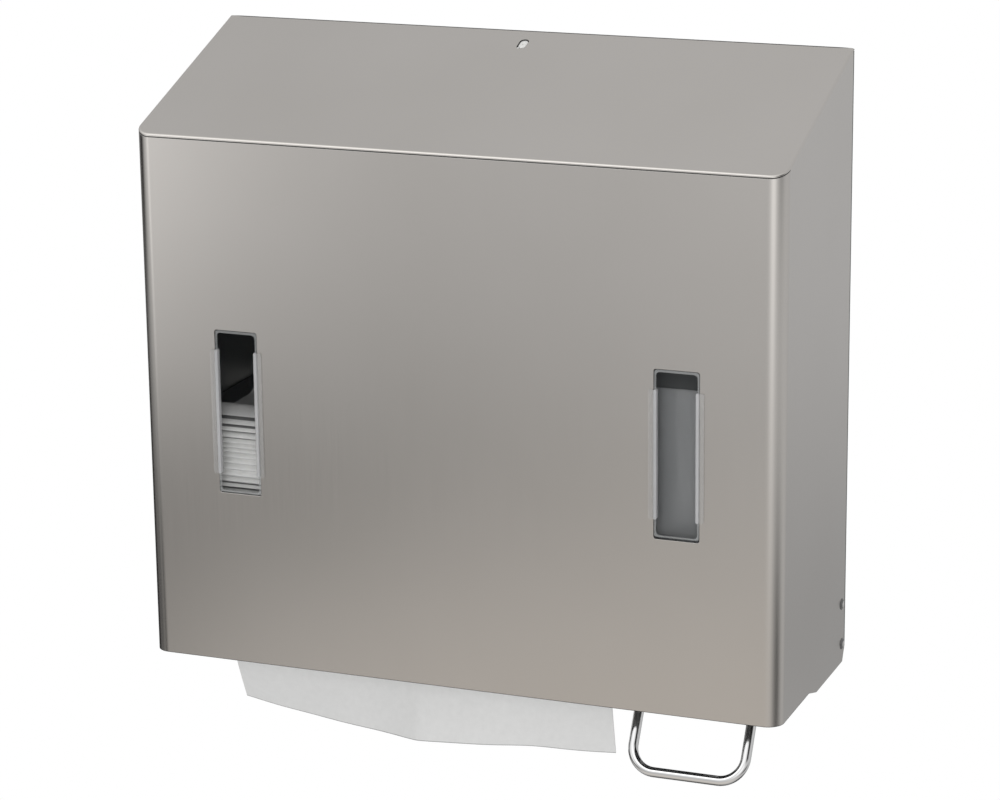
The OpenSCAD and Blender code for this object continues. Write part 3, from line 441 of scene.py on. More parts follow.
towelPaper = paperFinish("towelPaper", (0.64, 0.64, 0.635), (0.67, 0.67, 0.665))
# Painted shade: dark paper along the hanging leaf's cut edge.
towelEdgeShade = paperFinish("towelEdgeShade", (0.30, 0.30, 0.30), (0.36, 0.36, 0.36))
# The bundle's paper is lighter than the hanging leaf's: painted light that makes up for the dim light
# behind the window.
bundlePaperLit = paperFinish("bundlePaperLit", (0.74, 0.74, 0.73), (0.80, 0.80, 0.79))
# Painted shade: dark paper in the gaps between loose folds.
bundleGapShade = paperFinish("bundleGapShade", (0.16, 0.16, 0.16), (0.22, 0.22, 0.22))
print("finishes made:", len(bpy.data.materials))


# Hood: one sheet bent round two upright edges, with two window slots. The tail is the profile of
# its lower edge along the sides, as depths and as heights above the lower front edge.
hood = {
    "halfWidth": 0.200,
    "depth": 0.139,
    "frontHeight": 0.3235,
    "backHeight": 0.3725,
    "sheet": 0.0012,
    "bend": 0.010,
    "rearGap": 0.0008,
    "topPlate": 0.0015,
    "tailDepths": [-0.139, -0.078, -0.062, -0.00562, -0.0008],
    "tailHeights": [0.0, 0.0, -0.0048, -0.0048, 0.00466],
    "edge": 0.0003,
    "rearShadeStrip": 0.0018,  # painted shade strips at the rear, along the lower front and in the top seam
    "lowShadeStrip": 0.0004,
    "seamZone": 0.010,
    "innerFrom": -0.100,  # the sheet ahead of this depth has a matte, lighter inner face, partly painted light that brightens its reflection in the lever wire
    "topEdge": 0.0011,
    "groove": 0.0005,
    "lap": 0.0009,
}
windows = {"x": 0.1375, "height": 0.1572, "halfWidth": 0.01375, "halfHeight": 0.0505, "radius": 0.0015,
           "margin": 0.004}
# Free grid lines of the sheet, across its front, up it and along its sides.
gridLines = {"across": (-0.11, 0.11), "outside": (0.172, 0.164), "below": (0.02, 0.09),
             "beside": (0.12, 0.20), "above": 0.225, "topMargins": (0.006, 0.002), "side": (-0.012, -0.090),
             "support": 0.0006, "bendSteps": 19, "digits": 6}

slopeRise = (hood["backHeight"] - hood["frontHeight"]) / hood["depth"]
slopeAngle = np.arctan(slopeRise)
plateDrop = hood["topPlate"] / np.cos(slopeAngle)


# Height of the top plate's upper face at a depth.
def slopeHeight(depth):
    return lowerEdge + hood["backHeight"] + slopeRise * depth


# Plan of the sheet from the right rear edge round the front to the left rear edge: two
# straight sides, two quarter circles and the front, drawn in by inset.
def hoodPlan(inset, frontLines):
    half = hood["halfWidth"] - inset
    radius = hood["bend"] - inset
    bendDepth = hood["depth"] - hood["bend"]
    tailFront, tailRear, notch, rear = hood["tailDepths"][1:]
    sides = np.r_[rear, rear - hood["rearShadeStrip"], notch, np.linspace(gridLines["side"][0], tailRear, 5),
                  (tailFront + tailRear) / 2, tailFront,
                  np.linspace(gridLines["side"][1], gridLines["support"] - bendDepth, 3), -bendDepth]
    turn = np.linspace(0, np.pi / 2, gridLines["bendSteps"])[1:-1]
    bendX = half - radius + radius * np.cos(turn)
    bendY = -bendDepth - radius * np.sin(turn)
    x = np.r_[np.full(len(sides), half), bendX, frontLines, -bendX[::-1], np.full(len(sides), -half)]
    front = np.full(len(frontLines), -bendDepth - radius)
    y = np.r_[sides, bendY, front, bendY[::-1], sides[::-1]]
    return x, y


# Sheet over the plan and up it: each upright line runs from the tail to the underside of the
# sloping plate, the slots' cells are left out, and a second grid inside gives the thickness.
def makeHoodWrap():
    flat = hood["halfWidth"] - hood["bend"]
    across = holeLines(windows["x"], windows["halfWidth"], windows["radius"], windows["margin"])
    free = np.r_[np.linspace(*gridLines["across"], 9), flat, flat - gridLines["support"],
                 gridLines["outside"], windows["x"]]
    frontLines = np.unique(np.round(np.r_[across, -across, free, -free], gridLines["digits"]))[::-1]
    top = hood["frontHeight"] - plateDrop
    up = holeLines(windows["height"], windows["halfHeight"], windows["radius"], windows["margin"])
    rows = np.r_[0, hood["lowShadeStrip"], np.linspace(*gridLines["below"], 4), up,
                 np.linspace(*gridLines["beside"], 4),
                 np.linspace(gridLines["above"], top - gridLines["topMargins"][0], 4),
                 top - gridLines["topMargins"][1], top]
    rows = np.unique(np.round(rows, gridLines["digits"]))
    x, y = hoodPlan(0, frontLines)
    xIn, yIn = hoodPlan(hood["sheet"], frontLines)
    low = np.interp(y, hood["tailDepths"], hood["tailHeights"])
    high = slopeHeight(y) - lowerEdge - plateDrop
    share = (rows / top)[:, None]
    z = low + share * (high - low)
    x = np.broadcast_to(x, z.shape)
    y = np.broadcast_to(y, z.shape)
    onFront = y < -hood["depth"] + tiny
    keep = np.ones((len(rows) - 1, z.shape[1] - 1), bool)
    cellX = (x[:-1, :-1] + x[1:, 1:]) / 2
    cellZ = (z[:-1, :-1] + z[1:, 1:]) / 2
    cellFront = onFront[:-1, :-1] & onFront[1:, 1:]
    newX, newZ = x, z
    for side in (-1, 1):
        hole = {"u": side * windows["x"], "v": windows["height"], "halfU": windows["halfWidth"],
                "halfV": windows["halfHeight"], "radius": windows["radius"]}
        insideU = np.abs(cellX - hole["u"]) < hole["halfU"]
        insideV = np.abs(cellZ - hole["v"]) < hole["halfV"]
        keep &= ~(insideU & insideV & cellFront)
        movedX, movedZ = roundHole(newX, newZ, hole)
        newX = np.where(onFront, movedX, newX)
        newZ = np.where(onFront, movedZ, newZ)
    innerX = np.where(onFront, newX, xIn)
    topRow = np.zeros((len(rows), 1))
    topRow[-1] = 1  # the outer face stops short of the plate, the inner one laps into it
    outer = joinPoints(newX, y, newZ + lowerEdge - topRow * hood["groove"])
    inner = joinPoints(innerX, yIn, newZ + lowerEdge + topRow * hood["lap"])
    points, faces = sheetShell(outer, inner, keep)
    bendEnd = hood["bend"] - hood["depth"]
    piece = makePiece("hoodWrap", [(points, faces, satinSteel)], "hood", "hood_wrap")

    def edgeShadeFaces(middle, normal):
        y, z = middle[:, 1], middle[:, 2]
        rearRim = y > -hood["rearGap"] - hood["rearShadeStrip"]
        lowRim = (z < lowerEdge + hood["lowShadeStrip"]) & (y < hood["tailDepths"][1])
        highFront = (z > lowerEdge + hood["frontHeight"] - hood["seamZone"]) & (y < bendEnd)
        return rearRim | lowRim | highFront & (normal[:, 2] > facing["seam"])

    def innerFront(middle, normal):
        return (normal[:, 1] > facing["innerFront"]) & (middle[:, 1] < hood["innerFrom"])

    # Painted shade: dark steel on the rear rim, the lower front rim and the seam faces under the plate.
    paintFaces(piece, paintedEdgeShade, edgeShadeFaces)
    # Partly painted light: the inner front face gets a lighter matte steel.
    paintFaces(piece, innerFaceLit, innerFront)
    return roundEdges(piece, hood["edge"])


keyHole = {"depth": 0.017, "halfWidth": 0.0027, "halfLength": 0.0055}
lockLip = {"halfWidth": 0.035, "height": 0.0085, "radius": 0.0015, "edge": 0.0002, "sunk": 0.9}


# Distance from the key hole's middle to the plate's outline in each direction: the nearer of
# side, front and rear, with round front corners.
def plateRadius(angle, inset):
    c, s = np.abs(np.cos(angle)), np.sin(angle)
    ahead = hood["depth"] - keyHole["depth"]
    behind = keyHole["depth"] - hood["rearGap"]
    reach = np.where(s < 0, ahead, behind) - inset
    straight = np.minimum((hood["halfWidth"] - inset) / np.maximum(c, nearZero),
                          reach / np.maximum(np.abs(s), nearZero))
    cx, cy = hood["halfWidth"] - hood["bend"], ahead - hood["bend"]
    return roundCorner(straight, c, -s, cx, cy, hood["bend"] - inset)


# Sloping plate as rings round the key hole: over the top, round the upper edge by a quarter
# circle, under the plate and back up the hole's wall.
def makeHoodTop():
    ahead = hood["depth"] - keyHole["depth"]
    turn = np.linspace(0, np.pi / 2, 15)
    corner = np.arctan2(-(ahead - hood["bend"] + hood["bend"] * np.sin(turn)),
                        hood["halfWidth"] - hood["bend"] + hood["bend"] * np.cos(turn))
    inset = np.array([0, hood["topEdge"]])
    rear = np.arctan2(keyHole["depth"] - hood["rearGap"] - inset, hood["halfWidth"] - inset)
    evenly = np.linspace(-np.pi, np.pi, 120, endpoint=False)
    angle = np.r_[evenly, corner, np.pi - corner, rear, np.pi - rear]
    angle = np.unique(np.round(np.arctan2(np.sin(angle), np.cos(angle)), angleDigits))
    halfHole = keyHole["halfWidth"]
    hole = boxRadius(angle, halfHole, keyHole["halfLength"] * np.cos(slopeAngle), halfHole)
    edge, small, strip = hood["topEdge"], hood["edge"] / 2, gridLines["support"]
    outline = [(edge + strip, 0), *zip(*roundOver(edge, 8)), (0, plateDrop - small),
               (small, plateDrop), (small + strip, plateDrop)]
    around = [(small + strip, plateDrop), (small, plateDrop), (0, plateDrop - small),
              (0, small), (small, 0), (small + strip, 0)]
    outer = [plateRadius(angle, drawn) for drawn, drop in outline]
    radius = np.stack(outer + [hole + wider for wider, drop in around])
    drop = np.array([drop for drawn, drop in outline + around])[:, None]
    x = radius * np.cos(angle)
    y = radius * np.sin(angle) - keyHole["depth"]
    points = joinPoints(x, y, slopeHeight(y) - drop)
    rearEdge = -hood["rearGap"]
    lipTop = slopeHeight(rearEdge) - plateDrop * lockLip["sunk"]
    lipLow = slopeHeight(rearEdge) - plateDrop - lockLip["height"]
    lip = slabShell(lockLip["halfWidth"], (lipTop - lipLow) / 2, lockLip["radius"],
                    rearEdge - hood["topPlate"], rearEdge, lockLip["edge"], (0, (lipTop + lipLow) / 2))
    shells = [(points, [ringFaces(*radius.shape)], satinTop), (*lip, satinTop)]
    piece = makePiece("hoodTop", shells, "hood", "hood_top")

    def edgeShadeFaces(middle, normal):
        x, y = middle[:, 0], middle[:, 1]
        rearRim = y > rearEdge - edge - strip
        atHole = (np.abs(x) < halfHole + hood["edge"]) & (y > -keyHole["depth"] - keyHole["halfLength"])
        return rearRim | atHole & (np.abs(normal[:, 2]) < facing["holeWall"])

    # Painted shade: dark steel on the plate's rear rim and the key hole's wall.
    paintFaces(piece, paintedEdgeShade, edgeShadeFaces)
    return piece


# Windows: a clear pane behind the sheet, and on each long edge a rib through the slot that
# ends in a lip over the sheet.
pane = {"thick": 0.002, "lap": 0.006, "gap": 0.0001, "corner": 0.003, "edge": 0.0004, "softEdge": 0.0005,
        "rib": 0.002, "ribCorner": 0.0008, "lipReach": 0.003, "lipThick": 0.0012, "lipCorner": 0.0012,
        "bareEnd": 0.012, "rims": (0.0009, 0.0013, 0.0008), "rimCorner": 0.0024, "rimGap": 0.0004}


# Slabs and a frame about the slot's middle, at depths counted from the sheet's two faces.
def makeWindow(name, side, node, gapBelow):
    middle = (side * windows["x"], lowerEdge + windows["height"])
    halfWidth, halfHeight = windows["halfWidth"], windows["halfHeight"]
    inside = -hood["depth"] + hood["sheet"] + pane["gap"]
    outside = -hood["depth"] - pane["gap"]
    lipFace = outside - pane["lipThick"]
    halfRib = halfHeight - pane["bareEnd"]
    slotHalf = halfWidth - pane["gap"]
    sheet = slabShell(halfWidth + pane["lap"], halfHeight + pane["lap"], pane["corner"],
                      inside, inside + pane["thick"], pane["edge"], middle)
    rim = frameShell(halfWidth - pane["rimGap"], halfHeight - pane["rimGap"],
                     (windows["radius"], pane["rimCorner"]), pane["rims"], gapBelow,
                     outside + 2 * pane["gap"], inside - pane["gap"] / 2, middle)
    shells = [(*sheet, clearPane), (*rim, clearRim)]
    for edge in (-1, 1):
        ribMiddle = (middle[0] + edge * (slotHalf - pane["rib"] / 2), middle[1])
        lipMiddle = (middle[0] + edge * (slotHalf + pane["lipReach"] / 2), middle[1])
        rib = slabShell(pane["rib"] / 2, halfRib, pane["ribCorner"], lipFace,
                        inside + pane["thick"] / 2, pane["softEdge"], ribMiddle)
        lip = slabShell(pane["lipReach"] / 2, halfRib, pane["lipCorner"], lipFace,
                        outside, pane["softEdge"], lipMiddle)
        shells += [(*rib, clearRib), (*lip, clearLip)]
    return makePiece(name, shells, "hood", node)


makeHoodWrap()
makeHoodTop()
makeWindow("towelWindow", -1, "towel_window", 0.0002)
makeWindow("soapWindow", 1, "soap_window", 0.0010)
print("hood and windows made")


# Key button: a rounded block on the catch's pad that stands in the key hole, with a shallow
# slot for the key. Its top follows the plate's slope.
button = {"depth": -0.0159, "halfWidth": 0.0025, "halfLength": 0.0039, "low": -0.0088, "sunk": 0.0005,
          "edge": 0.0005, "roundness": 0.98, "slotHalf": 0.0005, "slotLength": 0.0014, "slotDeep": 0.0009,
          "slotFloor": 0.2, "sides": 48}


# Rings up the block and in over its top, down into the slot and across its floor.
def makeButton():
    angle = np.linspace(0, 2 * np.pi, button["sides"], endpoint=False)
    half, slotHalf = button["halfWidth"], button["slotHalf"]
    block = boxRadius(angle, half, button["halfLength"], half * button["roundness"])
    slot = boxRadius(angle, slotHalf, button["slotLength"], slotHalf * button["roundness"])
    drop, inset = roundOver(button["edge"], 5)
    rise = np.r_[button["low"], -drop, 0, -button["slotDeep"], -button["slotDeep"]]
    radius = np.stack([block, *(block - inset[:, None]), slot, slot, slot * button["slotFloor"]])
    x = radius * np.cos(angle)
    y = button["depth"] + radius * np.sin(angle)
    z = slopeHeight(y) - button["sunk"] + rise[:, None]
    shell = (joinPoints(x, y, z), tubeFaces(*radius.shape), whitePlastic)
    return makePiece("catchButton", [shell], "catch", None)


makeButton()


# Push lever: a wire bent into a U that leans back into the hood.
lever = {"x": 0.1375, "barDepth": -0.1205, "barDrop": 0.0445, "lean": 30.0, "halfGap": 0.0348,
         "bend": 0.015, "leg": 0.0883, "radius": 0.003, "legSteps": 8, "bendSteps": 17, "barSteps": 5,
         "sides": 40}


# The U in its own plane, run and rise, turned to lean: straight legs, two quarter circles
# and the bar, with a circle carried along it.
def makeLeverWire():
    half, bend, legSteps = lever["halfGap"], lever["bend"], lever["legSteps"]
    falling, rising = roundOver(bend, lever["bendSteps"])
    legRise = np.linspace(lever["leg"], bend, legSteps + 1)[:-1]
    bar = np.linspace(-half + bend, half - bend, lever["barSteps"] + 2)[1:-1]
    run = np.r_[np.full(legSteps, -half), -half + rising, bar, half - falling, np.full(legSteps, half)]
    rise = np.r_[legRise, falling, np.zeros(len(bar)), rising, legRise[::-1]]
    lean = np.radians(lever["lean"])
    path = joinPoints(lever["x"] + run, lever["barDepth"] + rise * np.sin(lean),
                      lowerEdge - lever["barDrop"] + rise * np.cos(lean))
    across = np.broadcast_to([0.0, np.cos(lean), -np.sin(lean)], path.shape)
    shell = wireShell(path, across, lever["radius"], lever["sides"])
    return makePiece("leverWire", [(*shell, brightWire)], "lever", "lever_wire")


makeLeverWire()


# Coil: a circle carried along a helix whose first and last turns lie flat.
def coilShell(middle, radius, wire, turns, low, high, turnSteps=32, flatTurns=0.8, sides=10):
    along = np.linspace(0, 1, int(turns * turnSteps) + 1)
    angle = 2 * np.pi * turns * along
    flatTurn = flatTurns / turns
    climb = np.clip((along - flatTurn) / (1 - 2 * flatTurn), 0, 1)
    z = low + wire / 2 + climb * (high - low - wire)
    path = joinPoints(middle[0] + radius * np.cos(angle), middle[1] + radius * np.sin(angle), z)
    across = joinPoints(np.cos(angle), np.sin(angle), 0)
    return wireShell(path, across, wire / 2, sides)


# Spring that fills its node's box.
def makeSpring(name, node, turns, wire):
    low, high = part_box(node)
    middle = ((low.x + high.x) / 2, (low.y + high.y) / 2)
    radius = (high.x - low.x) / 2 - wire / 2
    shell = coilShell(middle, radius, wire, turns, low.z, high.z)
    piece = makePiece(name, [(*shell, springSteel)], None, node)
    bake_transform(piece)
    return piece


makeSpring("pumpSpring", "pump_spring", 7, 0.0012)
makeSpring("catchSpring", "catch_spring", 4.5, 0.0007)
print("wire and springs made")


# Bottle: upturned, a rounded box drawn in to the neck by a cone.
bottle = {"x": 0.1375, "y": -0.071, "halfWidth": 0.044, "halfDepth": 0.052, "corner": 0.012,
          "shelf": 0.0925, "height": 0.204, "shoulder": 0.009, "shoulderEnd": 1.25, "sideStart": 1.4,
          "throat": 0.025, "neck": 0.019, "wall": 0.00165, "topRound": 0.009, "crown": (0.85, 0.05)}


# Directions round the bottle's plan, spaced so that the corners get most of them.
def bottleAngles():
    corner = bottle["corner"]
    turn = np.linspace(0, np.pi / 2, 11)
    x = bottle["halfWidth"] - corner + corner * np.cos(turn)
    y = bottle["halfDepth"] - corner + corner * np.sin(turn)
    quarter = np.r_[np.linspace(0, np.arctan2(y[0], x[0]), 8)[:-1], np.arctan2(y, x),
                    np.linspace(np.arctan2(y[-1], x[-1]), np.pi / 2, 8)[1:-1]]
    whole = np.r_[quarter, np.pi - quarter[::-1], np.pi + quarter, 2 * np.pi - quarter[::-1]]
    return np.unique(np.round(whole, angleDigits))[:-1]


# Shell of rings round the bottle's axis, from their radius in each direction and their rise
# above the shelf.
def bottleShell(radius, angle, rise, finish):
    points = joinPoints(bottle["x"] + radius * np.cos(angle), bottle["y"] + radius * np.sin(angle),
                        lowerEdge + bottle["shelf"] + rise[:, None])
    return points, tubeFaces(*radius.shape), finish


# Radius over direction and height: the smaller of the box and the shoulder's cone, softened
# where they meet.
def bottleRadius(angle, height, inset, softness=22.0):
    half, depth = bottle["halfWidth"] - inset, bottle["halfDepth"] - inset
    reach = np.hypot(bottle["halfWidth"], bottle["halfDepth"])
    rate = (reach - bottle["throat"]) / bottle["shoulder"]
    cone = bottle["throat"] - inset + rate * np.maximum(height, 0)
    box = boxRadius(angle, half, depth, bottle["corner"] - inset)
    return (cone ** -softness + box ** -softness) ** (-1 / softness)


# Rings up the neck, the shoulder and the sides, in round the top edge by a quarter circle and
# over the top.
def makeBottle():
    angle = bottleAngles()
    r, height = bottle["topRound"], bottle["height"]
    drop, inset = np.array(roundOver(r, 8))[:, 1:]
    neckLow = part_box("soap_bottle")[0].z - lowerEdge - bottle["shelf"]
    shoulder = np.linspace(0, bottle["shoulder"] * bottle["shoulderEnd"], 16)
    side = np.linspace(bottle["shoulder"] * bottle["sideStart"], height - r, 10)
    neck = np.full((3, len(angle)), bottle["neck"])
    body = bottleRadius(angle, np.r_[shoulder, side][:, None], 0)
    dome = body[-1] - inset[:, None]
    crown = np.linspace(*bottle["crown"], 8)[:, None] * dome[-1]
    radius = np.concatenate([neck, body, dome, crown])
    rise = np.r_[neckLow, neckLow / 2, 0, shoulder, side, height - drop, np.full(len(crown), height)]
    shell = bottleShell(radius, angle, rise, bottlePlastic)
    return makePiece("soapBottle", [shell], "frame", "soap_bottle")


soap = {"level": 0.0995, "gap": 0.0002, "start": 0.0005, "shoulderEnd": 1.3, "sideStart": 1.5,
        "pumpRoom": 0.0112, "pumpGap": 0.0003, "pumpRings": (0.2, 1, 1),
        "surface": (0.985, 0.96, 0.92, 0.8, 0.5, 0.1), "climb": 0.0012, "climbReach": 0.03}


# Soap: the bottle's inside up to the level, with room for the pump, and its surface drawn up
# a little where it wets the wall.
def makeSoap():
    angle = bottleAngles()
    inset, shoulder = bottle["wall"] + soap["gap"], bottle["shoulder"]
    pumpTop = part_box("pump_cylinder")[1].z - lowerEdge - bottle["shelf"] + soap["pumpGap"]
    pumpRoom = np.outer(soap["pumpRings"], np.full(len(angle), soap["pumpRoom"]))
    floor = np.full((1, len(angle)), bottle["throat"] - inset)
    heights = np.r_[np.linspace(inset + soap["start"], shoulder * soap["shoulderEnd"], 14),
                    np.linspace(shoulder * soap["sideStart"], soap["level"], 6)]
    wall = bottleRadius(angle, heights[:, None] - inset, inset)
    drawn = np.array(soap["surface"])
    radius = np.concatenate([pumpRoom, floor, wall, drawn[:, None] * wall[-1]])
    sunk = soap["climb"] * (1 - np.exp(-(1 - drawn) / soap["climbReach"]))
    rise = np.r_[pumpTop, pumpTop, inset, inset, heights, soap["level"] - sunk]
    shell = bottleShell(radius, angle, rise, liquidSoap)
    return makePiece("soapFill", [shell], "frame", "soap_fill")


makeBottle()
makeSoap()
print("bottle and soap made")


# Bundle of folded towels: the folds run across, each a rounded nose of its own depth.
bundle = {"left": -0.173, "right": 0.077, "front": -0.1235, "rear": -0.0085, "low": 0.0143,
          "high": 0.1530, "columns": 72, "seed": 7, "folds": 38, "foldRows": 7, "foldEnds": (0.02, 0.98),
          "thickSpread": 0.22, "topThick": (1.15, 1.30, 1.50), "nose": 0.0034, "noseShape": 0.8,
          "looseNose": 0.008, "loose": 1.6, "slackAt": 13, "slack": 0.45,
          "uneven": 0.0009, "waveRate": (20, 70), "wavePhase": 6.3, "waveShare": 0.25,
          "topRows": 30, "sag": 0.011, "puff": 0.05, "sinkOver": 0.28, "topWave": 0.06, "topWaveRate": 40,
          "gapDepth": 0.0045, "gapBack": 0.02, "gapReach": 0.018, "slackReach": 0.0065, "sharpAngle": 60}


# Outline over height, front then rear: each fold bulges by a half sine between the grooves,
# which are deeper in the loose folds at the top and round the slack place, and slow noise along
# x and from fold to fold moves the edges in and out. Behind the puffed edges the top sinks along
# an S curve.
def makeBundle():
    rng = np.random.default_rng(bundle["seed"])
    folds, steps = bundle["folds"], bundle["foldRows"]
    share = np.linspace(*bundle["foldEnds"], steps)
    thick = 1 + bundle["thickSpread"] * rng.uniform(-1, 1, folds)
    thick[-len(bundle["topThick"]):] = bundle["topThick"]
    starts = np.r_[0, np.cumsum(thick)[:-1]]
    z = ((starts[:, None] + share * thick[:, None]) / thick.sum()).ravel()
    z = lowerEdge + bundle["low"] + z * (bundle["high"] - bundle["low"])
    fromTop = np.arange(folds)[::-1, None]
    looseness = np.exp(-fromTop / bundle["loose"])
    looseness = looseness + bundle["slack"] * np.exp(-(fromTop - bundle["slackAt"]) ** 2 / 2)
    bulge = np.sin(np.pi * share) ** (bundle["noseShape"] + looseness)
    groove = (bundle["nose"] + bundle["looseNose"] * looseness) * (1 - bulge)
    groove = groove.reshape(-1, 1)
    across = np.linspace(bundle["left"], bundle["right"], bundle["columns"])
    rate = rng.uniform(*bundle["waveRate"], (folds, 1))
    phase = rng.uniform(0, bundle["wavePhase"], (folds, 1))
    wave = np.sin(across[None] * rate + phase)
    frontMove = bundle["uneven"] * (rng.uniform(0, 1, (folds, 1)) + bundle["waveShare"] * (1 + wave))
    rearMove = bundle["uneven"] * (rng.uniform(0, 1, (folds, 1)) + bundle["waveShare"] * (1 - wave))
    front = bundle["front"] + groove + np.repeat(frontMove, steps, axis=0)
    rear = bundle["rear"] - groove - np.repeat(rearMove, steps, axis=0)
    inward = np.linspace(0, 1, bundle["topRows"])[1:-1, None]
    top = front[-1] + (rear[-1] - front[-1]) * inward
    sink = np.clip((np.minimum(inward, 1 - inward) - bundle["puff"]) / bundle["sinkOver"], 0, 1)
    uneven = 1 + bundle["topWave"] * np.sin(across * bundle["topWaveRate"])
    sag = bundle["sag"] * sink ** 2 * (3 - 2 * sink) * uneven
    depth = np.concatenate([front, top, rear[::-1]])
    height = np.concatenate([np.broadcast_to(z[:, None], front.shape), z[-1] - sag,
                             np.broadcast_to(z[::-1, None], rear.shape)])
    loop = joinPoints(across, depth, height).transpose(1, 0, 2)
    rows, cols = loop.shape[:2]
    side = len(front)
    rungs = np.arange(side - 1)
    ladder = np.stack([rungs, rungs + 1, cols - 2 - rungs, cols - 1 - rungs], axis=-1)
    crownIndex = np.arange(side - 1, cols - side + 1)[None, :]
    faces = [cellFaces(rows, cols, wrap=True), ladder[:, ::-1], ladder + (rows - 1) * cols,
             crownIndex[:, ::-1], crownIndex + (rows - 1) * cols]
    # Lighter paper than the leaf's, painted light for the dim inside of the hood.
    piece = makePiece("towelBundle", [(loop, faces, bundlePaperLit)], "frame", "towel_stack",
                      bundle["sharpAngle"])
    halfFold = (steps + 1) // 2
    tip = z[-halfFold]
    slackTip = z[-bundle["slackAt"] * steps - halfFold]

    def gapShadeFaces(middle, normal):
        deep = middle[:, 1] - bundle["front"]
        below = tip - middle[:, 2]
        loose = (below > 0) & (below < bundle["gapReach"])
        slack = np.abs(middle[:, 2] - slackTip) < bundle["slackReach"]
        return (deep > bundle["gapDepth"]) & (deep < bundle["gapBack"]) & (loose | slack)

    # Painted shade: the deep faces of the gaps under the loose top folds and round the slack place get dark
    # paper.
    paintFaces(piece, bundleGapShade, gapShadeFaces)
    return piece


makeBundle()


# Hanging towel: one leaf of the lowest towel, drawn through the slot and creased down its middle.
leaf = {"width": 0.2515, "middle": -0.048, "depth": -0.085, "top": 0.0139, "hang": 0.070,
        "thick": 0.0007, "columns": 160, "rows": 44, "crest": 0.03, "crestDepth": 0.0093,
        "crestSoft": 0.045, "leftSwing": 0.0297, "rightSwing": 0.0219, "swingPower": 0.78,
        "droopPower": 1.4, "wave": 0.0028, "waveAt": 0.54, "waveWidth": 0.17,
        "ripples": ((0.0004, 7, 2.5, 0), (0.00024, 15, -3, 1)), "slant": 0.002, "slantPower": 4,
        "cut": 0.007, "sharpAngle": 60}


# Leaf over u across and v down: each half swings back from the crease by a power of its
# distance, one wave crosses the right half, and a line down the leaf keeps its length.
def makeLeaf():
    rows, cols = leaf["rows"], leaf["columns"]
    u, v = np.meshgrid(np.linspace(-1, 1, cols + 1), np.r_[np.linspace(0, 1 - leaf["cut"], rows), 1])
    away = np.sqrt((u - leaf["crest"]) ** 2 + leaf["crestSoft"] ** 2) - leaf["crestSoft"]
    rise = np.where(u < leaf["crest"], leaf["leftSwing"], leaf["rightSwing"])
    swing = rise * away ** leaf["swingPower"] - leaf["crestDepth"]
    swing += leaf["wave"] * np.exp(-((u - leaf["waveAt"]) / leaf["waveWidth"]) ** 2)
    for size, alongU, alongV, phase in leaf["ripples"]:
        swing += size * np.sin(alongU * u + alongV * v + phase)
    x = leaf["middle"] + u * leaf["width"] / 2
    x -= leaf["slant"] * (1 - v) * np.maximum(-u, 0) ** leaf["slantPower"]
    y = leaf["depth"] + swing * v ** leaf["droopPower"]
    z = lowerEdge + leaf["top"] - v * np.sqrt(leaf["hang"] ** 2 - swing ** 2)
    front = joinPoints(x, y - leaf["thick"] / 2, z)
    rear = joinPoints(x, y + leaf["thick"] / 2, z)
    points, faces = sheetShell(front, rear, np.ones((rows, cols), bool))
    piece = makePiece("towelLeaf", [(points, faces, towelPaper)], "towel", "towel_sheet",
                      leaf["sharpAngle"])
    # Painted shade: the leaf's lowest row and its bottom wall are dark paper.
    lowRow = np.arange(len(piece.data.polygons)) % (rows * cols) >= (rows - 1) * cols
    paintFaces(piece, towelEdgeShade, lambda middle, normal: lowRow)
    return piece


makeLeaf()
print("towels made")


merging = {"distance": 2e-6, "flatAngle": 0.6, "sharpAngle": 34}


# The other pieces are merged copies of their CAD nodes, with rounded edges and a finish.
def dressNode(node, body, finish, edge):
    name = "".join(word if k == 0 else word.capitalize() for k, word in enumerate(node.split("_")))
    mesh = frame["nodes"][node].data.copy()
    mesh.name = name
    work = bmesh.new()
    work.from_mesh(mesh)
    bmesh.ops.remove_doubles(work, verts=work.verts, dist=merging["distance"])
    flat = np.radians(merging["flatAngle"])
    bmesh.ops.dissolve_limit(work, angle_limit=flat, verts=work.verts, edges=work.edges)
    work.to_mesh(mesh)
    work.free()
    mesh.materials.clear()
    mesh.materials.append(finish)
    return roundEdges(finishPiece(name, mesh, body, node, merging["sharpAngle"]), edge)


dressing = {
    # the inner pieces' darker steel is partly painted shade
    "innerSteelShaded": (innerSteelShaded, "inner_steel", 0.00025, [
        "back_plate", "catch_bracket", "towel_floor", "towel_guide", "divider", "pump_carrier"]),
    "heads": (headSteel, "pin_steel", 0.0002, ["hinge_pins", "stop_pins"]),
    "pins": (pinSteel, "pin_steel", 0.0002, ["catch_pin", "lever_axle", "axle_clips", "inlet_ball"]),
    "rivets": (rivetMetal, "rivet_metal", 0.0002, ["bracket_rivets", "panel_rivets", "carrier_nuts"]),
    "white": (whitePlastic, "white_plastic", 0.0003, [
        "hinge_washers", "lock_catch", "pump_cap", "pump_cylinder", "stem_guide", "valve_cage",
        "piston_stem", "nozzle_tip", "axle_washers"]),
    "grey": (greyPlastic, "grey_plastic", 0.0005, ["lever_rocker"]),
    "rubber": (sealRubber, "seal_rubber", 0.0002, ["neck_gasket", "piston_ring", "drip_valve"]),
}
bodyOf = {node: body for body, nodes in frame["record"]["behaviour"]["bodies"].items() for node in nodes}
for finish, slotName, edge, nodes in dressing.values():
    for node in nodes:
        piece = dressNode(node, bodyOf[node], finish, edge)
        if node == "back_plate":
            paintFaces(piece, rearFace, lambda middle, normal: normal[:, 1] > facing["plateRear"])
        if finish == headSteel:  # painted shade on the heads' sloping rims
            paintFaces(piece, pinShade, lambda middle, normal: np.abs(normal[:, 0]) < facing["headRim"])
print("inner pieces dressed")


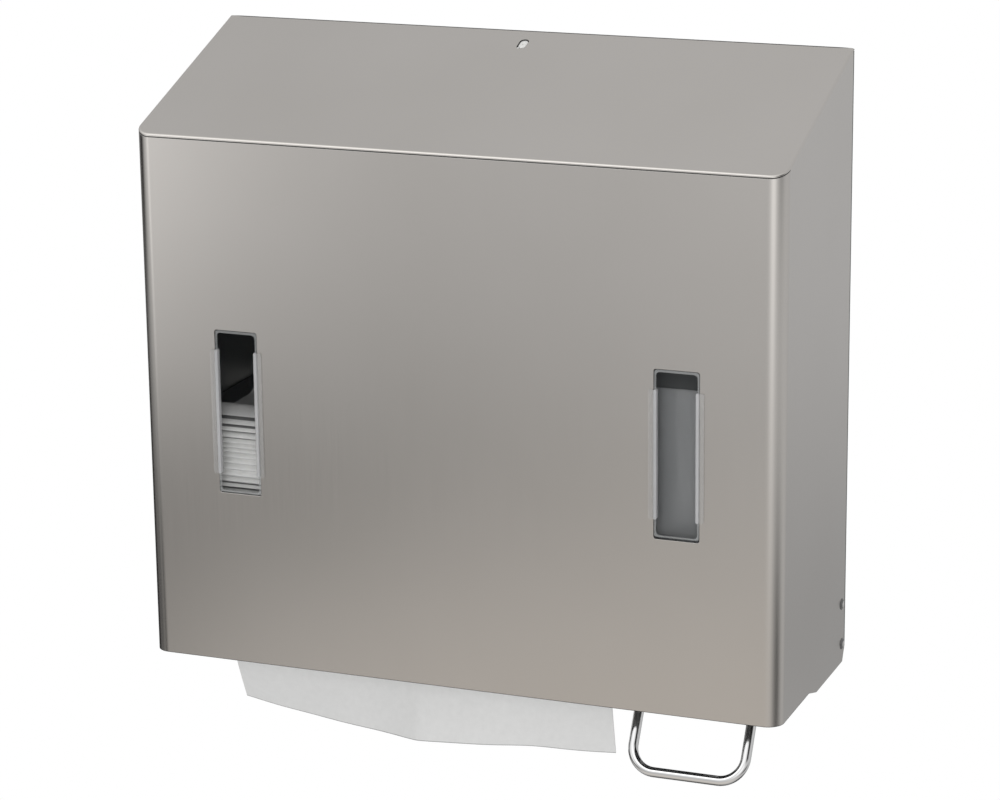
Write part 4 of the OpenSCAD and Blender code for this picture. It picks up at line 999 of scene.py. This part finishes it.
# Stage: a pale floor well below, a white surround and soft lamps.
stage = {"floorHeight": -1.7, "floorHalf": 14.0, "floorColour": (0.86, 0.86, 0.86, 1),
         "floorRough": 0.9, "surround": 0.66}


# Light path factor that is 1 for camera, glossy and transmission rays.
def seenRays(tree):
    path = addNode(tree, "LightPath", {}).outputs
    first = addNode(tree, "Math", {0: path["Is Camera Ray"], 1: path["Is Glossy Ray"]})
    second = addNode(tree, "Math", {0: first.outputs["Value"], 1: path["Is Transmission Ray"]})
    first.operation = second.operation = "MAXIMUM"
    return second.outputs["Value"]


# Surround that is white where it is seen and dimmer as a light.
def makeSurround():
    world = bpy.data.worlds.new("surround")
    bpy.context.scene.world = world
    world.use_nodes = True
    tree = world.node_tree
    strength = addNode(tree, "MapRange", {"Value": seenRays(tree), "To Min": stage["surround"],
                                          "To Max": 1.0})
    feed(tree, tree.nodes["Background"], {"Color": (1, 1, 1, 1), "Strength": strength.outputs["Result"]})


# Square floor that glows white where it is seen and is a pale matte surface to other light.
def makeFloor():
    half, height = stage["floorHalf"], stage["floorHeight"]
    corners = [(x * half, y * half, height) for x, y in ((-1, -1), (1, -1), (1, 1), (-1, 1))]
    mesh = bpy.data.meshes.new("floor")
    mesh.from_pydata(corners, [], [(0, 1, 2, 3)])
    finish, tree, shader = newFinish("floorWhite")
    feed(tree, shader, {"Base Color": stage["floorColour"], "Roughness": stage["floorRough"]})
    glow = addNode(tree, "Emission", {"Strength": 1.0}).outputs["Emission"]
    mix = addNode(tree, "MixShader", {"Fac": seenRays(tree), 1: shader.outputs["BSDF"], 2: glow})
    feed(tree, tree.nodes["Material Output"], {"Surface": mix.outputs["Shader"]})
    mesh.materials.append(finish)
    addObject("floor", mesh)


# Screen round the object that only reflections see. Its cards are lighter or darker than the
# plain screen: azimuth from the front, height, width and tallness in degrees, and light.
screen = {"radius": 1.0, "middle": (0, -0.07, 0), "highest": 89, "rows": 179, "columns": 360,
          "plain": 0.96, "least": 0.02, "warmFrom": -14, "warmTo": -32, "warmWidth": 60,
          "warmTint": (1.04, 0.985, 0.92)}
cards = {
    "leftFlag": (-33, -20, 18, 6, -0.45),
    "lowFlag": (-46, -31, 8, 15, -0.62),
    "bendFlag": (-68, -24, 20, 12, -0.70),
    "leftGlow": (-42, 0, 10, 10, 0.55),
    "leftLine": (-42, -4, 5, 16, 0.45),
    "frontFlag": (-22, -7, 14, 9, -0.12),
    "rightFlag": (2, -18, 24, 7, -0.16),
    "sideFlag": (-106, -24, 24, 34, -0.92),
    "rightGlow": (30, 0, 17, 15, 0.85),
    "cornerFlag": (72, -26, 24, 8, -0.85),
    "wallFlag": (152, -14, 34, 40, -0.17),
    "wallLow": (150, -27, 30, 12, -0.24),
    "topFlag": (-122, 46, 26, 24, -0.12),
    "rearFlag": (-158, 2, 30, 24, -0.95),
    "rearLow": (-158, -46, 30, 26, -0.95),
    "floorCap": (0, -90, 400, 20, -0.95),
    "lowRight": (120, -58, 45, 14, -0.95),
    "legFlag": (72, 7, 16, 8, -0.95),
    "legUpper": (50, 13, 14, 7, -1.10),
    "leftLegFlag": (-84, 0, 14, 8, -0.80),
    "key": (-20, 42, 60, 22, 1.60),
}


# Sphere over azimuth and height: each card adds its light, fading as a bell curve both ways,
# and the low part in front is warmer.
def makeScreen():
    heights = np.linspace(-screen["highest"], screen["highest"], screen["rows"])
    height, azimuth = np.meshgrid(heights, np.linspace(-180, 180, screen["columns"], endpoint=False))
    light = np.full(height.shape, screen["plain"])
    for cardAzimuth, cardHeight, width, tallness, change in cards.values():
        aside = (azimuth - cardAzimuth + 180) % 360 - 180
        light += change * np.exp(-(aside / width) ** 2 - ((height - cardHeight) / tallness) ** 2)
    warm = np.clip((height - screen["warmFrom"]) / (screen["warmTo"] - screen["warmFrom"]), 0, 1)
    warm = (warm * np.exp(-(azimuth / screen["warmWidth"]) ** 2))[..., None]
    tint = 1 + warm * (np.array(screen["warmTint"]) - 1)
    colour = np.maximum(light, screen["least"])[..., None] * tint
    colour = np.concatenate([colour, np.ones_like(warm)], axis=-1)
    a, h = np.radians(azimuth), np.radians(height)
    ball = joinPoints(np.cos(h) * np.sin(a), -np.cos(h) * np.cos(a), np.sin(h))
    points = np.array(screen["middle"]) + screen["radius"] * ball
    mesh = bpy.data.meshes.new("screen")
    rows = points.transpose(1, 0, 2)
    mesh.from_pydata(rows.reshape(-1, 3).tolist(), [], cellFaces(*rows.shape[:2], wrap=True).tolist())
    mesh.polygons.foreach_set("use_smooth", [True] * len(mesh.polygons))
    shade = mesh.attributes.new("light", "FLOAT_COLOR", "POINT")
    shade.data.foreach_set("color", colour.transpose(1, 0, 2).ravel())
    finish, tree, shader = newFinish("screenGlow")
    reading = addNode(tree, "Attribute", {})
    reading.attribute_name = "light"
    glow = addNode(tree, "Emission", {"Color": reading.outputs["Color"]})
    feed(tree, tree.nodes["Material Output"], {"Surface": glow.outputs["Emission"]})
    finish.cycles.emission_sampling = "NONE"
    mesh.materials.append(finish)
    holder = addObject("screen", mesh)
    holder.visible_camera = holder.visible_diffuse = holder.visible_transmission = False
    holder.visible_shadow = holder.visible_volume_scatter = False


# Turns an object's own axes to right, upward and backward, and puts it at a place.
def setPlace(holder, right, upward, backward, place):
    turn = np.eye(4)
    turn[:3] = np.stack([right, upward, backward, place], axis=1)
    holder.matrix_world = Matrix(turn)


# Lamps that reflections don't show: place, size and power.
lamps = {"keyLamp": ((0.60, -2.4, 0.2), (1.2, 0.4), 16),
         "fillLamp": ((0.75, -2.2, 0.62), (1.0, 0.6), 11)}


# Oblong lamp at a place, turned to face the object.
def addLamp(name, place, size, power):
    lamp = bpy.data.lights.new(name, "AREA")
    lamp.shape = "RECTANGLE"
    lamp.size, lamp.size_y = size
    lamp.energy = power
    holder = addObject(name, lamp)
    backward = np.subtract(place, screen["middle"])
    backward /= np.linalg.norm(backward)
    right = np.cross([0, 0, 1], backward)
    right /= np.linalg.norm(right)
    setPlace(holder, right, np.cross(backward, right), backward, place)
    holder.visible_glossy = holder.visible_camera = False


camera = {"place": (0.7175, -1.8953, 0.5169), "yaw": 21.48, "pitch": 15.53, "roll": -0.71,
          "lens": 122.29, "sensor": 36.0, "shift": (0.0067, -0.0133), "farthest": 100.0}


# Camera from its yaw, downward pitch and roll.
def makeCamera():
    yaw, pitch, roll = np.radians([camera["yaw"], camera["pitch"], camera["roll"]])
    ahead = np.array([-np.sin(yaw) * np.cos(pitch), np.cos(yaw) * np.cos(pitch), -np.sin(pitch)])
    level = np.array([np.cos(yaw), np.sin(yaw), 0])
    upright = np.cross(level, ahead)
    right = np.cos(roll) * level + np.sin(roll) * upright
    upward = -np.sin(roll) * level + np.cos(roll) * upright
    lens = bpy.data.cameras.new("camera")
    lens.lens = camera["lens"]
    lens.sensor_fit = "HORIZONTAL"
    lens.sensor_width = camera["sensor"]
    lens.shift_x, lens.shift_y = camera["shift"]
    lens.clip_end = camera["farthest"]
    holder = addObject("camera", lens)
    setPlace(holder, right, upward, -ahead, camera["place"])
    bpy.context.scene.camera = holder


makeSurround()
makeFloor()
makeScreen()
for name, lamp in lamps.items():
    addLamp(name, *lamp)
makeCamera()
bpy.context.scene.view_settings.view_transform = "Standard"
print("stage, lamps and camera made")
